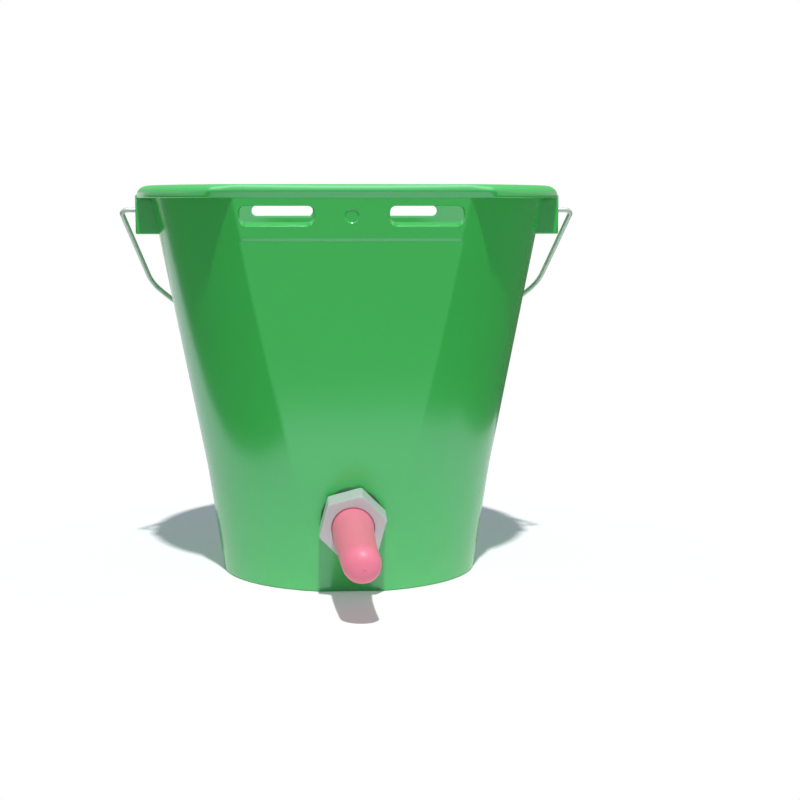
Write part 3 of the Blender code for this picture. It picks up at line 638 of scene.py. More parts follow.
# %% The rim's rows
def rim_rows():
    """The rim's outside, from the wall under the skirt to the start of its flat top.

    The top edge is a quarter of an ellipse. It is as wide as the rim has room for, up to LIP_ROUND, and
    as high as FRONT_EDGE in front, growing to LIP_EDGE past the crease. The face's rows are squeezed to
    make room for it.
    """
    radii, heights, closing = rim_section()
    round_z = np.repeat(heights[:, None], COLUMNS, axis=1)
    edge = FRONT_EDGE + (LIP_EDGE - FRONT_EDGE) * ramp(FROM_FRONT, RIM_CREASE, RIM_CREASE + EDGE_GROWS)
    face = LIP_BOTTOM + LIP_SKIN / 2
    squeeze = (HEIGHT - edge - face) / (HEIGHT - FRONT_EDGE - face)
    round_z[-4:] = face + (round_z[-4:] - face) * squeeze
    round_z[:closing] = LIP_BOTTOM + (round_z[:closing] - LIP_BOTTOM) * CHANNEL_SHARE
    front_z = np.linspace(SLOT_ROWS[-1], HEIGHT - FRONT_EDGE, len(radii) + 1)[1:, None]
    z = front_z + (round_z - front_z) * SKIRT_SHARE
    side_r = wall_reach(radii[:, None], front_distance(z), RIM_ANGLES)
    inwards, upwards = quarter(1.0, 0, 90, 13)
    width = side_r[-1] - np.linalg.norm(INNER_WALL[0][:, :2], axis=1)
    rounding = np.minimum(LIP_ROUND, 0.75 * width)
    corner_r = side_r[-1] - rounding * (1 - inwards[1:])[:, None]
    corner_z = z[-1] + (HEIGHT - z[-1]) * upwards[1:, None]
    return np.concatenate([polar_rows(z, side_r, RIM_ANGLES), polar_rows(corner_z, corner_r, RIM_ANGLES)])


# %% The top between the rim's two edges
def top_rows(outer_row, inner_row):
    """The flat top and its rounded inner edge, between two rows of points.

    The edge is a quarter circle: a point on it lies a cosine inwards and a sine up.
    """
    inwards, upwards = quarter(INNER_EDGE, 90, 0, 5)
    out = outer_row - inner_row
    out[:, 2] = 0.0
    out /= np.linalg.norm(out, axis=1)[:, None]
    edge = inner_row + out * (INNER_EDGE - inwards)[:, None, None]
    edge[:, :, 2] = (HEIGHT - INNER_EDGE + upwards)[:, None]
    share = np.array([0.25, 0.5, 0.75])[:, None, None]
    return np.concatenate([outer_row + (edge[0] - outer_row) * share, edge])


# %% [markdown]
# A pail stands on a ring, and the base inside the ring is a little hollow, so that it doesn't rock.
# A disc in the middle is level with the ring. The rows of the base and of the floor are copies of the
# wall's last row, drawn in towards the axis, so they keep the flat front's outline all the way in.

# %% Rows of the underside
def shrunk_rows(row, ratios, heights):
    """Copies of one row, drawn in towards the axis by each ratio and set at each height."""
    rows = np.repeat(row[None], len(ratios), axis=0)
    rows[:, :, :2] *= np.asarray(ratios)[:, None, None]
    rows[:, :, 2] = np.asarray(heights)[:, None]
    return rows


def underside_rows(first_row):
    """The foot: from the middle of the base over disc, hollow and ring to the corner under the wall."""
    foot = BASE_RADIUS - FOOT_CORNER
    ring = foot - FOOT_RING_WIDTH
    slope = FOOT_HOLLOW
    corner_r, corner_z = quarter(FOOT_CORNER, 270, 350, 7)
    hollow_r = np.linspace(BASE_DISC_RADIUS + slope, ring - slope, 6)
    radii = np.concatenate([[0.0, 0.010, 0.020, BASE_DISC_RADIUS - 0.0004, BASE_DISC_RADIUS], hollow_r,
                            [ring, ring + 0.0004, foot], foot + corner_r[1:]])
    heights = np.concatenate([[0.0, 0.0, 0.0, 0.0, 0.0001], np.full(6, FOOT_HOLLOW),
                              [0.0001, 0.0, 0.0], FOOT_CORNER + corner_z[1:]])
    return shrunk_rows(first_row, radii / BASE_RADIUS, heights)


# %% Rows of the floor
def floor_rows(last_row):
    """The rounded corner inside and the floor, down to its middle."""
    corner_r, corner_z = quarter(INNER_CORNER, 0, -90, 9)
    start = np.linalg.norm(last_row[:, :2], axis=1).max()
    radii = np.concatenate([start - INNER_CORNER + corner_r[1:], np.linspace(start - 0.012, 0.0, 8)])
    heights = np.concatenate([FLOOR + INNER_CORNER + corner_z[1:], np.full(8, FLOOR)])
    return shrunk_rows(last_row, radii / start, heights)


# %% All rows of the bucket
UNDERSIDE = underside_rows(OUTER_WALL[0])
RIM = rim_rows()
RIM_TOP = top_rows(RIM[-1].copy(), INNER_WALL[0])
FLOOR_ROWS = floor_rows(INNER_WALL[-1])
BUCKET_GRID = np.concatenate([UNDERSIDE, OUTER_WALL, RIM, RIM_TOP, INNER_WALL[1:], FLOOR_ROWS])
FIRST_OUTER_ROW = len(UNDERSIDE)
FIRST_INNER_ROW = FIRST_OUTER_ROW + len(OUTER_WALL) + len(RIM) + len(RIM_TOP) - 1
print("bucket grid:", BUCKET_GRID.shape)

# %% [markdown]
# The slots and the teat hole go through both walls. Each is cut as a window: a block of cells is left
# out of the outer wall and the same block out of the inner wall. A sleeve of new rows then runs from
# the outer window's border, across the face, over a rounded or bevelled edge, through the wall and out
# to the inner border. The border has square corners and the hole is round or a rounded rectangle, so each
# border point is sent to its own place on that outline. This keeps every cell four-sided.

# %% Where a border point goes
def hole_place(a, b, half_width, half_height, corner):
    """Place on a rounded rectangle, and the way out there, for border coordinates a and b of -1 to 1.

    The border is stretched to the rectangle. A point that falls in a corner square is moved to the
    corner's circle, along the line from that circle's middle.
    """
    past_x = np.maximum(np.abs(a) * half_width - (half_width - corner), 0.0)
    past_y = np.maximum(np.abs(b) * half_height - (half_height - corner), 0.0)
    length = np.maximum(np.hypot(past_x, past_y), 1e-9)
    in_corner = (past_x > 0) & (past_y > 0)
    u = np.where(in_corner, np.sign(a) * (half_width - corner + past_x * corner / length), a * half_width)
    v = np.where(in_corner, np.sign(b) * (half_height - corner + past_y * corner / length), b * half_height)
    return u, v, np.sign(a) * past_x / length, np.sign(b) * past_y / length


# %% Once round a window
def window_border(rows, columns):
    """Row, column and border coordinates (a along columns, b along rows) once round a window."""
    down = np.arange(rows[0], rows[1])
    along = np.arange(columns[0], columns[1])
    row = np.concatenate([np.full(len(along), rows[0]), down, np.full(len(along), rows[1]), down[::-1] + 1])
    column = np.concatenate([along, np.full(len(down), columns[1]), along[::-1] + 1,
                             np.full(len(down), columns[0])])
    a = (column - columns[0]) / (columns[1] - columns[0]) * 2 - 1
    b = (row - rows[0]) / (rows[1] - rows[0]) * 2 - 1
    return row, column, a, b


# %% A grid with windows
class Shell:
    """Grid points, kept cells and sleeves of one moulding, gathered before its mesh is made."""

    def __init__(self, grid, wrap_rows=False, wrap_columns=True):
        self.grid = grid
        self.points = [grid.reshape(-1, 3)]
        self.count = grid.shape[0] * grid.shape[1]
        self.index = np.arange(self.count).reshape(grid.shape[:2])
        self.kept = np.ones((grid.shape[0] - (not wrap_rows), grid.shape[1] - (not wrap_columns)), bool)
        self.wraps = (wrap_rows, wrap_columns)
        self.sleeves = []

    def add_sleeve(self, loops, start, end=None):
        """Joins loops of new points to the grid points start and, where given, end."""
        rows = [start]
        for loop in loops:
            rows.append(np.arange(self.count, self.count + len(loop)))
            self.points.append(loop)
            self.count += len(loop)
        if end is not None:
            rows.append(end)
        self.sleeves.append(grid_cells(np.stack(rows)))

    def piece(self, name):
        """The mesh object."""
        cells = grid_cells(self.index, *self.wraps)[self.kept.ravel()]
        return new_piece(name, np.vstack(self.points), np.vstack([cells, *self.sleeves]))


# %% Cutting a window
ROUND_EDGE = [(1 - math.sin(t), 0.72 * (1 - math.cos(t))) for t in np.radians(np.linspace(0, 90, 8))]
FLAT_EDGE = [(1 - t, 0.90 * t) for t in (0.0, 0.02, 0.06, 0.15, 0.4, 0.7, 0.9, 0.97, 1.0)]
ACROSS_FACE = (0.3, 0.6, 0.85)
ACROSS_INSIDE = (0.0, 0.2, 0.5, 0.75)
NEARLY_THROUGH = 0.93
INNER_LIP = 0.0002


def cut_window(shell, rows, columns, inner_row, flips, hole, edges, outer_face, inner_face, edge=ROUND_EDGE):
    """Cuts a window through two walls of a shell and lines it with a sleeve.

    rows and columns are the window's first and last on the outer wall, and inner_row is the row of
    the inner wall that faces rows[0]. flips turns the border's coordinates the way that u and v grow.
    hole is (half width, half height, corner radius). edges is how far the edge's rounding or bevel
    reaches above, below and beside the hole, and edge lists what is left of that reach at each depth.
    The faces turn (u, v) into points.
    """
    row, column, a, b = window_border(rows, columns)
    facing = inner_row - (row - rows[0])
    shell.kept[rows[0]:rows[1], columns[0]:columns[1]] = False
    shell.kept[inner_row - (rows[1] - rows[0]):inner_row, columns[0]:columns[1]] = False
    u, v, out_u, out_v = hole_place(flips[0] * a, flips[1] * b, *hole)
    edge_u = out_u * edges[2]
    edge_v = out_v * np.where(out_v > 0, edges[0], edges[1])
    start, end = shell.grid[row, column], shell.grid[facing, column]
    first = outer_face(u + edge_u, v + edge_v)
    loops = [start + (first - start) * share for share in ACROSS_FACE]
    for left, deep in edge:
        outside = outer_face(u + edge_u * left, v + edge_v * left)
        inside = inner_face(u + edge_u * left, v + edge_v * left)
        loops.append(outside + (inside - outside) * deep)
    loops.append(outer_face(u, v) * (1 - NEARLY_THROUGH) + inner_face(u, v) * NEARLY_THROUGH)
    last = inner_face(u + out_u * INNER_LIP, v + out_v * INNER_LIP)
    loops += [last + (end - last) * share for share in ACROSS_INSIDE]
    shell.add_sleeve(loops, shell.index[row, column], shell.index[facing, column])


# %% The faces that windows are cut in
def front_face(x, z, radius_less=0.0, distance=front_distance, softness=CREASE):
    """Point of the front wall at x and z. Its angle is found by repeating sine = x / reach."""
    radius, flat = round_radius(z) - radius_less, distance(z)
    angle = np.arctan2(x, flat)
    for _ in range(8):
        reach = wall_reach(radius, flat, angle, softness)
        angle = np.arcsin(np.clip(x / reach, -1.0, 1.0))
    return np.stack([x, -reach * np.cos(angle), z], axis=1)


def front_inside(x, z):
    """The same on the inner wall."""
    return front_face(x, z, UPPER_SKIN, lambda height: plane_distance(height) - FLAT_SKIN, 3 * CREASE)


def back_face(x, z, less=0.0):
    """Point of the round wall behind at x and z: y is the root of radius squared less x squared."""
    return np.stack([x, np.sqrt((round_radius(z) - less) ** 2 - x * x), z], axis=1)


# %% Slots
SLOT_INNER = 0.0244
SLOT_OUTER = 0.071456
SLOT_TOP = HEIGHT - 0.0137
FRONT_SLOT_HEIGHT = 0.0103
BACK_SLOT_HEIGHT = 0.0080
SLOT_CORNER = 0.0038
SLOT_MIDDLE = (SLOT_INNER + SLOT_OUTER) / 2
SLOT_HALF = (SLOT_OUTER - SLOT_INNER) / 2
FRONT_SLOT_EDGES = (0.0003, 0.0029, 0.0007)
BACK_SLOT_EDGES = (0.0005, 0.0010, 0.0008)
WINDOW_MARGIN = 0.0038
CREASE_MARGIN = 0.0030

BUCKET = Shell(BUCKET_GRID)
SLOT_ROW_FIRST = FIRST_OUTER_ROW + len(OUTER_HEIGHTS) - len(SLOT_ROWS)
SLOT_ROW_LAST = SLOT_ROW_FIRST + len(SLOT_ROWS) - 1
SLOT_ROW_INSIDE = FIRST_INNER_ROW + len(SLOT_ROWS) + 1


def nearest(values, *targets):
    """Places in an array of the values nearest to each target."""
    return [int(np.argmin(np.abs(values - target))) for target in targets]


# %% Front slots and back slots
def cut_front_slot(side):
    """A slot in the flat front, with its lower edge bevelled wide so that a hook slides in."""
    crease_x = math.sqrt(float(round_radius(SLOT_TOP) ** 2 - front_distance(SLOT_TOP) ** 2))
    ends = sorted((side * (SLOT_INNER - WINDOW_MARGIN) / crease_x,
                   side * (SLOT_OUTER + CREASE_MARGIN) / crease_x))
    middle_z = SLOT_TOP - FRONT_SLOT_HEIGHT / 2
    cut_window(BUCKET, (SLOT_ROW_FIRST, SLOT_ROW_LAST), nearest(FLAT_COLUMNS, *ends), SLOT_ROW_INSIDE,
               (1, 1), (SLOT_HALF, FRONT_SLOT_HEIGHT / 2, SLOT_CORNER), FRONT_SLOT_EDGES,
               lambda u, v: front_face(side * SLOT_MIDDLE + u, middle_z + v),
               lambda u, v: front_inside(side * SLOT_MIDDLE + u, middle_z + v), FLAT_EDGE)


def cut_back_slot(side):
    """A slot in the round wall behind, its columns counted from the back on the +X or -X side."""
    near = math.asin((SLOT_INNER - WINDOW_MARGIN) / float(round_radius(SLOT_TOP))) / ROUND_SPAN
    far = math.asin((SLOT_OUTER + WINDOW_MARGIN) / float(round_radius(SLOT_TOP))) / ROUND_SPAN
    ends = sorted((-side * near, -side * far))
    columns = [len(FLAT_COLUMNS) + place for place in nearest(ROUND_COLUMNS, *ends)]
    middle_z = SLOT_TOP - BACK_SLOT_HEIGHT / 2
    cut_window(BUCKET, (SLOT_ROW_FIRST, SLOT_ROW_LAST), columns, SLOT_ROW_INSIDE,
               (-1, 1), (SLOT_HALF, BACK_SLOT_HEIGHT / 2, SLOT_CORNER), BACK_SLOT_EDGES,
               lambda u, v: back_face(side * SLOT_MIDDLE + u, middle_z + v),
               lambda u, v: back_face(side * SLOT_MIDDLE + u, middle_z + v, UPPER_SKIN))


for hand in (1, -1):
    cut_front_slot(hand)
    cut_back_slot(hand)
print("slots: four, each %.1f mm long" % (2000 * SLOT_HALF))

# %% [markdown]
# The teat's axis stands square to the leaning flat. A station is a distance outwards along it from
# the wall's outer face. Everything that is screwed in there is worked out in that frame: x across,
# u up the wall, and the station outwards.

# %% The teat's axis
HOLE_HEIGHT = 0.0505
AXIS_PLACE = np.array([0.0, -plane_distance(HOLE_HEIGHT), HOLE_HEIGHT])
ACROSS = np.array([1.0, 0.0, 0.0])
UP_WALL = np.array([0.0, -math.sin(FLAT_LEAN), math.cos(FLAT_LEAN)])
OUTWARDS = np.array([0.0, -math.cos(FLAT_LEAN), -math.sin(FLAT_LEAN)])


def on_axis(x, up, station):
    """World points of places in the axis frame."""
    x, up, station = np.broadcast_arrays(x, up, station)
    return AXIS_PLACE + x[..., None] * ACROSS + up[..., None] * UP_WALL + station[..., None] * OUTWARDS


# %% Teat hole
SPIGOT_RADIUS = 0.0160
HOLE_RADIUS = SPIGOT_RADIUS + 0.0005
HOLE_EDGES = (0.0004, 0.0004, 0.0004)
HOLE_SHARE = 0.70
HOLE_ROW_FIRST = FIRST_OUTER_ROW + 5
HOLE_ROW_LAST = HOLE_ROW_FIRST + len(HOLE_ROWS) - 1
HOLE_ROW_INSIDE = FIRST_INNER_ROW + len(INNER_HEIGHTS) - 1 - 4

cut_window(BUCKET, (HOLE_ROW_FIRST, HOLE_ROW_LAST), nearest(FLAT_COLUMNS, -HOLE_SHARE, HOLE_SHARE),
           HOLE_ROW_INSIDE, (1, 1), (HOLE_RADIUS, HOLE_RADIUS, HOLE_RADIUS), HOLE_EDGES,
           lambda u, v: on_axis(u, v, 0.0), lambda u, v: on_axis(u, v, -WALL))
print("teat hole: %.1f mm wide" % (2000 * HOLE_RADIUS))

# %% [markdown]
# Between the front slots the pad has a shallow round dimple. It goes only part of the way into the
# wall, so it is cut as a window with one sleeve: circles that shrink while they go deeper, to a point.
# A sculpted dent would look as good, but it would be hard to make exactly round.

# %% Dimple in the pad
DIMPLE_RADIUS = 0.0045
DIMPLE_HEIGHT = HEIGHT - 0.0202
DIMPLE_SHARE = 0.0985
DIMPLE_ROWS = (3, 18)


def press_dimple():
    """A shallow round recess in the pad: circles of shrinking radius at growing depth, to a middle."""
    rows = [SLOT_ROW_FIRST + row for row in DIMPLE_ROWS]
    columns = nearest(FLAT_COLUMNS, -DIMPLE_SHARE, DIMPLE_SHARE)
    row, column, a, b = window_border(rows, columns)
    BUCKET.kept[rows[0]:rows[1], columns[0]:columns[1]] = False
    u, v, _, _ = hole_place(a, b, 1.0, 1.0, 1.0)
    middle = np.array([0.0, -float(front_distance(DIMPLE_HEIGHT)), DIMPLE_HEIGHT])
    start = BUCKET.grid[row, column]
    radii = DIMPLE_RADIUS * np.array([1.10, 1.05, 1.01, 0.98, 0.95, 0.90, 0.80, 0.55, 0.25, 0.0])
    depths = 0.001 * np.array([0.0, 0.03, 0.12, 0.30, 0.50, 0.62, 0.68, 0.73, 0.76, 0.76])
    circles = [middle + r * (u[:, None] * ACROSS + v[:, None] * UP_WALL) - d * OUTWARDS
               for r, d in zip(radii, depths)]
    loops = [start + (circles[0] - start) * share for share in (0.35, 0.7)] + circles
    BUCKET.add_sleeve(loops, BUCKET.index[row, column])


press_dimple()

# %% The bucket's mesh
dress(BUCKET.piece("bucket_wall"), "bucket", "bucket", BUCKET_GREEN, "bucket_shell")

# %% [markdown]
# Each ear is a skin bent in a U round a hollow, open below, with its two arms run into the wall. Its
# section is a thin upright strip with a round lower edge. The strip is carried along the U, and the
# strip's ends close to a line inside the wall, so that the ear is a closed body of its own. A
# Solidify modifier on a bent plane would do too, but it can't run the arms into a sloping wall.

# %% Ear sizes
EAR_HALF_WIDTH = 0.0170
EAR_BOTTOM = HEIGHT - 0.0333
EAR_TOP = HEIGHT - 0.0058
EAR_SKIN = 0.0022
EAR_BEND = 0.0014
EAR_TOP_ROUND = 0.0018
EAR_ROOT = 0.0012
EAR_OUTSIDE = LIP_RADIUS + 0.0004
PIVOT_HEIGHT = HEIGHT - 0.0167
WIRE_RADIUS = 0.00175
WIRE_HOLE = WIRE_RADIUS + 0.0004
WINDOW_HALF = 0.0045
print("ears: %.1f mm wide, %.1f mm high" % (2000 * EAR_HALF_WIDTH, 1000 * (EAR_TOP - EAR_BOTTOM)))


# %% Section of an ear
def ear_section():
    """Height and sideways offset round the strip: down the outside, round the lower edge, up the inside.

    Returns both, and the rows of the outside between which the wire's hole lies.
    """
    half, top_round = EAR_SKIN / 2, EAR_TOP_ROUND
    low = EAR_BOTTOM + half
    top = np.radians(np.linspace(90, 0, 6))
    window = np.linspace(PIVOT_HEIGHT + WINDOW_HALF, PIVOT_HEIGHT - WINDOW_HALF, 11)
    foot = np.radians(np.linspace(0, -90, 6))[1:-1]
    z = np.concatenate([EAR_TOP - top_round + top_round * np.sin(top), window, [HEIGHT - 0.0260, low],
                        low + half * np.sin(foot)])
    outside = np.concatenate([half - top_round + top_round * np.cos(top), np.full(len(window) + 2, half),
                              half * np.cos(foot)])
    inside = np.where(z < low - 1e-9, -outside, -half)
    return (np.concatenate([z, [EAR_BOTTOM], z[::-1]]), np.concatenate([outside, [0.0], inside[::-1]]),
            (len(top), len(top) + len(window) - 1))


# %% Plan of an ear
def ear_grid():
    """Points of the ear at +X: section rows carried along a U of two arms, two bends and a plate.

    An arm starts EAR_ROOT deep in the wall, where its x is the root of radius squared less y squared.
    """
    z, offset, window = ear_section()
    half, bend = EAR_SKIN / 2, EAR_BEND
    arm_y = EAR_HALF_WIDTH - half
    plate_x = EAR_OUTSIDE - half
    share = np.array([0.0, 0.04, 0.3, 0.6, 1.0])
    turn = np.radians(np.linspace(0, 90, 7))[1:]
    plate_y = np.concatenate([np.linspace(bend - arm_y, -WINDOW_HALF, 7)[1:],
                              np.linspace(-WINDOW_HALF, WINDOW_HALF, 11)[1:]])
    root = np.sqrt((round_radius(np.minimum(z, LIP_UNDER)) - EAR_ROOT) ** 2 - arm_y ** 2)[:, None]
    arm_x = root + (plate_x - bend - root) * share[None, :]
    flat = np.ones((len(z), 1))
    bend_x = flat * (plate_x - bend + bend * np.sin(turn))
    x = np.hstack([arm_x, bend_x, flat * np.full(len(plate_y), plate_x)])
    y = np.concatenate([np.full(len(share), -arm_y), -(arm_y - bend) - bend * np.cos(turn), plate_y])
    out_x = np.concatenate([np.zeros(len(share)), np.sin(turn), np.ones(len(plate_y))])
    out_y = np.concatenate([-np.ones(len(share)), -np.cos(turn), np.zeros(len(plate_y))])
    thick = offset[:, None] * np.concatenate([[0.0], np.ones(len(y) - 1)])[None, :]
    near = np.stack([x + thick * out_x, y + thick * out_y, np.repeat(z[:, None], len(y), axis=1)], axis=2)
    first, last = nearest(y, -WINDOW_HALF, WINDOW_HALF)
    far = near[:, :first + 1][:, ::-1] * np.array([1.0, -1.0, 1.0])
    return np.concatenate([near[:, :last], far], axis=1), window, (first, last)


# %% Both ears
def make_ear(name, side):
    """One ear, its wire hole cut as a window whose rounded edge is 0.4 mm wide."""
    grid, window, columns = ear_grid()
    shell = Shell(grid, wrap_rows=True, wrap_columns=False)
    cut_window(shell, window, columns, len(grid) - 1 - window[0], (1, -1),
               (WIRE_HOLE, WIRE_HOLE, WIRE_HOLE), HOLE_EDGES,
               lambda u, v: np.stack([np.full(len(u), EAR_OUTSIDE), u, PIVOT_HEIGHT + v], axis=1),
               lambda u, v: np.stack([np.full(len(u), EAR_OUTSIDE - EAR_SKIN), u, PIVOT_HEIGHT + v], axis=1))
    shell.points = [points * np.array([side, 1.0, 1.0]) for points in shell.points]
    return dress(shell.piece(name), "bucket", "bucket", BUCKET_GREEN, "bucket_shell")


make_ear("ear_right", 1)
make_ear("ear_left", -1)

# %% [markdown]
# The bail is one wire. Its route is flat: a short hook inside the ear, a run out through the hole, a
# tight shoulder, a leaning leg, a soft knee and the bow. The route is worked out as points in the
# wire's own plane, and a circle is carried along it. A bevelled curve gives the same tube, but its
# ends would be flat discs, and here they are the slightly rounded cuts of real wire. The finished wire
# hangs at the angle that it has in the construction model, against the wall behind.

# %% Bail sizes
BAIL_HALF_SPAN = EAR_OUTSIDE + 0.0118
BAIL_REACH = 0.1594
KNEE_REACH = 0.0770
LEG_LEAN = math.radians(11.2)
KNEE_BLEND = 0.0086
SHOULDER_RADIUS = 0.0040
HOOK_RADIUS = 0.0032
HOOK_LENGTH = 0.0095
HOOK_INSET = 0.0031
CUT_SHARES = np.array([0.0, 0.70, 0.93, 1.0])
CUT_STEPS = np.array([0.0, 0.00005, 0.0002, 0.0005])[:, None]


# %% Lines and arcs
def straight(start, end, count):
    """Evenly spaced points from start up to, but not including, end."""
    return start + (end - start) * np.linspace(0.0, 1.0, count, endpoint=False)[:, None]


def round_corner(before, corner, after, radius, count):
    """Points of the arc that rounds a corner: its centre lies on the bisector, radius / sin(half)."""
    one = (before - corner) / np.linalg.norm(before - corner)
    two = (after - corner) / np.linalg.norm(after - corner)
    half = math.acos(float(one @ two)) / 2
    centre = corner + (one + two) / np.linalg.norm(one + two) * radius / math.sin(half)
    start = corner + one * radius / math.tan(half) - centre
    end = corner + two * radius / math.tan(half) - centre
    sweep = math.pi - 2 * half
    share = np.linspace(0.0, 1.0, count)[:, None]
    return centre + (start * np.sin((1 - share) * sweep) + end * np.sin(share * sweep)) / math.sin(sweep)


# %% The route in the wire's plane
def bail_route():
    """Half of the bail in its own plane, (across, down), then its mirror image."""
    hook_x = EAR_OUTSIDE - EAR_SKIN - HOOK_INSET - WIRE_RADIUS
    hook_end, hook_corner = np.array([hook_x, -HOOK_LENGTH]), np.array([hook_x, 0.0])
    shoulder = np.array([BAIL_HALF_SPAN, 0.0])
    knee = np.array([BAIL_HALF_SPAN - math.tan(LEG_LEAN) * KNEE_REACH, KNEE_REACH])
    leg_end = knee + (shoulder - knee) / np.linalg.norm(shoulder - knee) * KNEE_BLEND
    rise = BAIL_REACH - KNEE_REACH
    bow_radius = (knee[0] ** 2 + rise ** 2) / (2 * rise)
    bow_middle = BAIL_REACH - bow_radius
    turn = math.atan2(knee[0], knee[1] - bow_middle) - KNEE_BLEND / bow_radius
    angles = np.linspace(turn, 0.0, 70)
    bow = np.stack([bow_radius * np.sin(angles), bow_middle + bow_radius * np.cos(angles)], axis=1)
    hook = round_corner(hook_end, hook_corner, shoulder, HOOK_RADIUS, 12)
    bend = round_corner(hook_corner, shoulder, leg_end, SHOULDER_RADIUS, 12)
    t = np.linspace(0.0, 1.0, 14)[:-1, None]
    blend = (1 - t) ** 2 * leg_end + 2 * t * (1 - t) * knee + t ** 2 * bow[0]
    half = np.concatenate([straight(hook_end, hook[0], 6), hook, straight(hook[-1], bend[0], 8)[1:], bend,
                           straight(bend[-1], leg_end, 30)[1:], blend, bow])
    return np.concatenate([half, half[-2::-1] * np.array([-1.0, 1.0])])


# %% A tube along a route
def tube(route, normal_one, normal_two, radii, sides=20):
    """A tube: at each route point a circle of its radius, spanned by its two normals."""
    turn = np.linspace(0, 2 * math.pi, sides, endpoint=False)[None, :, None]
    ring = np.cos(turn) * normal_one[:, None, :] + np.sin(turn) * normal_two[:, None, :]
    return route[:, None, :] + radii[:, None, None] * ring


# %% The bail hangs as the frame says
low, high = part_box("bail_wire")
HANG = math.atan2(high.y - WIRE_RADIUS, PIVOT_HEIGHT - low.z - WIRE_RADIUS)
DOWN_WIRE = np.array([0.0, math.sin(HANG), -math.cos(HANG)])
WIRE_NORMAL = np.array([0.0, math.cos(HANG), math.sin(HANG)])
print("bail hangs %.2f degrees from straight down" % math.degrees(HANG))


# %% The bail's mesh
def make_bail():
    """The wire: the route, whose first and last rings are replaced by four that round the cut off.

    CUT_SHARES are their shares of the wire's radius, and CUT_STEPS their distances from the cut.
    """
    flat = bail_route()
    route = flat[:, :1] * ACROSS + flat[:, 1:] * DOWN_WIRE + np.array([0.0, 0.0, PIVOT_HEIGHT])
    along = np.gradient(route, axis=0)
    along /= np.linalg.norm(along, axis=1)[:, None]
    radii = np.full(len(route), WIRE_RADIUS)
    start = route[0] + along[0] * CUT_STEPS
    end = (route[-1] - along[-1] * CUT_STEPS)[::-1]
    route = np.concatenate([start, route[2:-2], end])
    along = np.concatenate([np.repeat(along[:1], 4, 0), along[2:-2], np.repeat(along[-1:], 4, 0)])
    radii = np.concatenate([WIRE_RADIUS * CUT_SHARES, radii[2:-2], WIRE_RADIUS * CUT_SHARES[::-1]])
    side = np.cross(along, WIRE_NORMAL)
    grid = tube(route, side, np.repeat(WIRE_NORMAL[None], len(route), axis=0), radii)
    index = np.arange(grid.shape[0] * grid.shape[1]).reshape(grid.shape[:2])
    piece = new_piece("bail", grid.reshape(-1, 3), grid_cells(index), smooth_angle=60)
    return dress(piece, "bail", "wire", WIRE_ZINC, "bail_wire")


make_bail()

# %% [markdown]
# What is screwed into the hole is a stack: a rubber ring, the nut with the teat's flange in it, and
# inside the wall a second ring and the valve. All of it is turned about the teat's axis: a profile of
# radius and station is carried round. The Screw modifier would do the same with a drawn profile, but
# here the nut's outline also has to change from round to six-sided on the way.

# %% Turning about the teat's axis
def turned_points(radii, stations, columns=96):
    """Points of a profile carried round the teat's axis; radii may already hold one value per column."""
    radii = np.asarray(radii, float)
    if radii.ndim == 1:
        radii = np.repeat(radii[:, None], columns, axis=1)
    turn = np.linspace(0, 2 * math.pi, radii.shape[1], endpoint=False)
    return on_axis(radii * np.cos(turn), radii * np.sin(turn), np.asarray(stations, float)[:, None])


def closed_ring(name, points, smooth_angle=35):
    """A mesh from turned points whose profile closes on itself."""
    index = np.arange(points.shape[0] * points.shape[1]).reshape(points.shape[:2])
    cells = grid_cells(index, wrap_rows=True)
    return new_piece(name, points.reshape(-1, 3), cells, smooth_angle=smooth_angle)


def rounded_path(corners, radius, steps):
    """A closed profile with each corner replaced by a quadratic curve that starts radius away from it."""
    corners = np.asarray(corners, float)
    before, after = np.roll(corners, 1, axis=0), np.roll(corners, -1, axis=0)
    to_before, to_after = before - corners, after - corners
    reach_b = np.linalg.norm(to_before, axis=1)
    reach_a = np.linalg.norm(to_after, axis=1)
    cut = np.minimum(radius, 0.45 * np.minimum(reach_a, reach_b))[:, None]
    start = corners + to_before / reach_b[:, None] * cut
    end = corners + to_after / reach_a[:, None] * cut
    t = np.linspace(0.0, 1.0, steps)[None, :, None]
    curve = (1 - t) ** 2 * start[:, None] + 2 * t * (1 - t) * corners[:, None] + t ** 2 * end[:, None]
    return curve.reshape(-1, 2)


# %% Stations of what is screwed in
GAP = 0.0003
GASKET_RADIUS = 0.0209
GASKET_THICKNESS = 0.0022
GASKET_ROUND = 0.0007
NUT_FLATS = 0.0398
NUT_LENGTH = 0.0205
NUT_PLATE = 0.0030
NUT_TURN = math.radians(15.0)
NUT_COLUMNS = 180
NUT_MOUTH_ROUND = 0.0009
NUT_EDGE_INSET = 0.0006
NUT_CORNER_SOFTNESS = 0.0007
NUT_CORNER_CUT = 0.0011
NUT_CUT_HEIGHT = 0.0010
NUT_CUT_SLOPE = 2.0
NUT_CUT_SOFTNESS = 0.0004
NUT_BACK = GAP + GASKET_THICKNESS + GAP
NUT_FRONT = NUT_BACK + NUT_LENGTH
TEAT_FLANGE_FRONT = NUT_FRONT - NUT_PLATE - GAP
TEAT_FLANGE = 0.0030
INNER_GASKET_BACK = -WALL - GAP - GASKET_THICKNESS
TEAT_BASE_RADIUS = 0.0137
TEAT_TIP_RADIUS = 0.0122
TEAT_REACH = 0.0755
TEAT_SIDEWAYS = 0.0046
TEAT_DROOP = 0.0030
TEAT_WAIST = 0.00018
TEAT_COLUMNS = 128
TEAT_TIP = NUT_FRONT + TEAT_REACH
print("nut from %.4f to %.4f, teat's tip at %.4f" % (NUT_BACK, NUT_FRONT, TEAT_TIP))

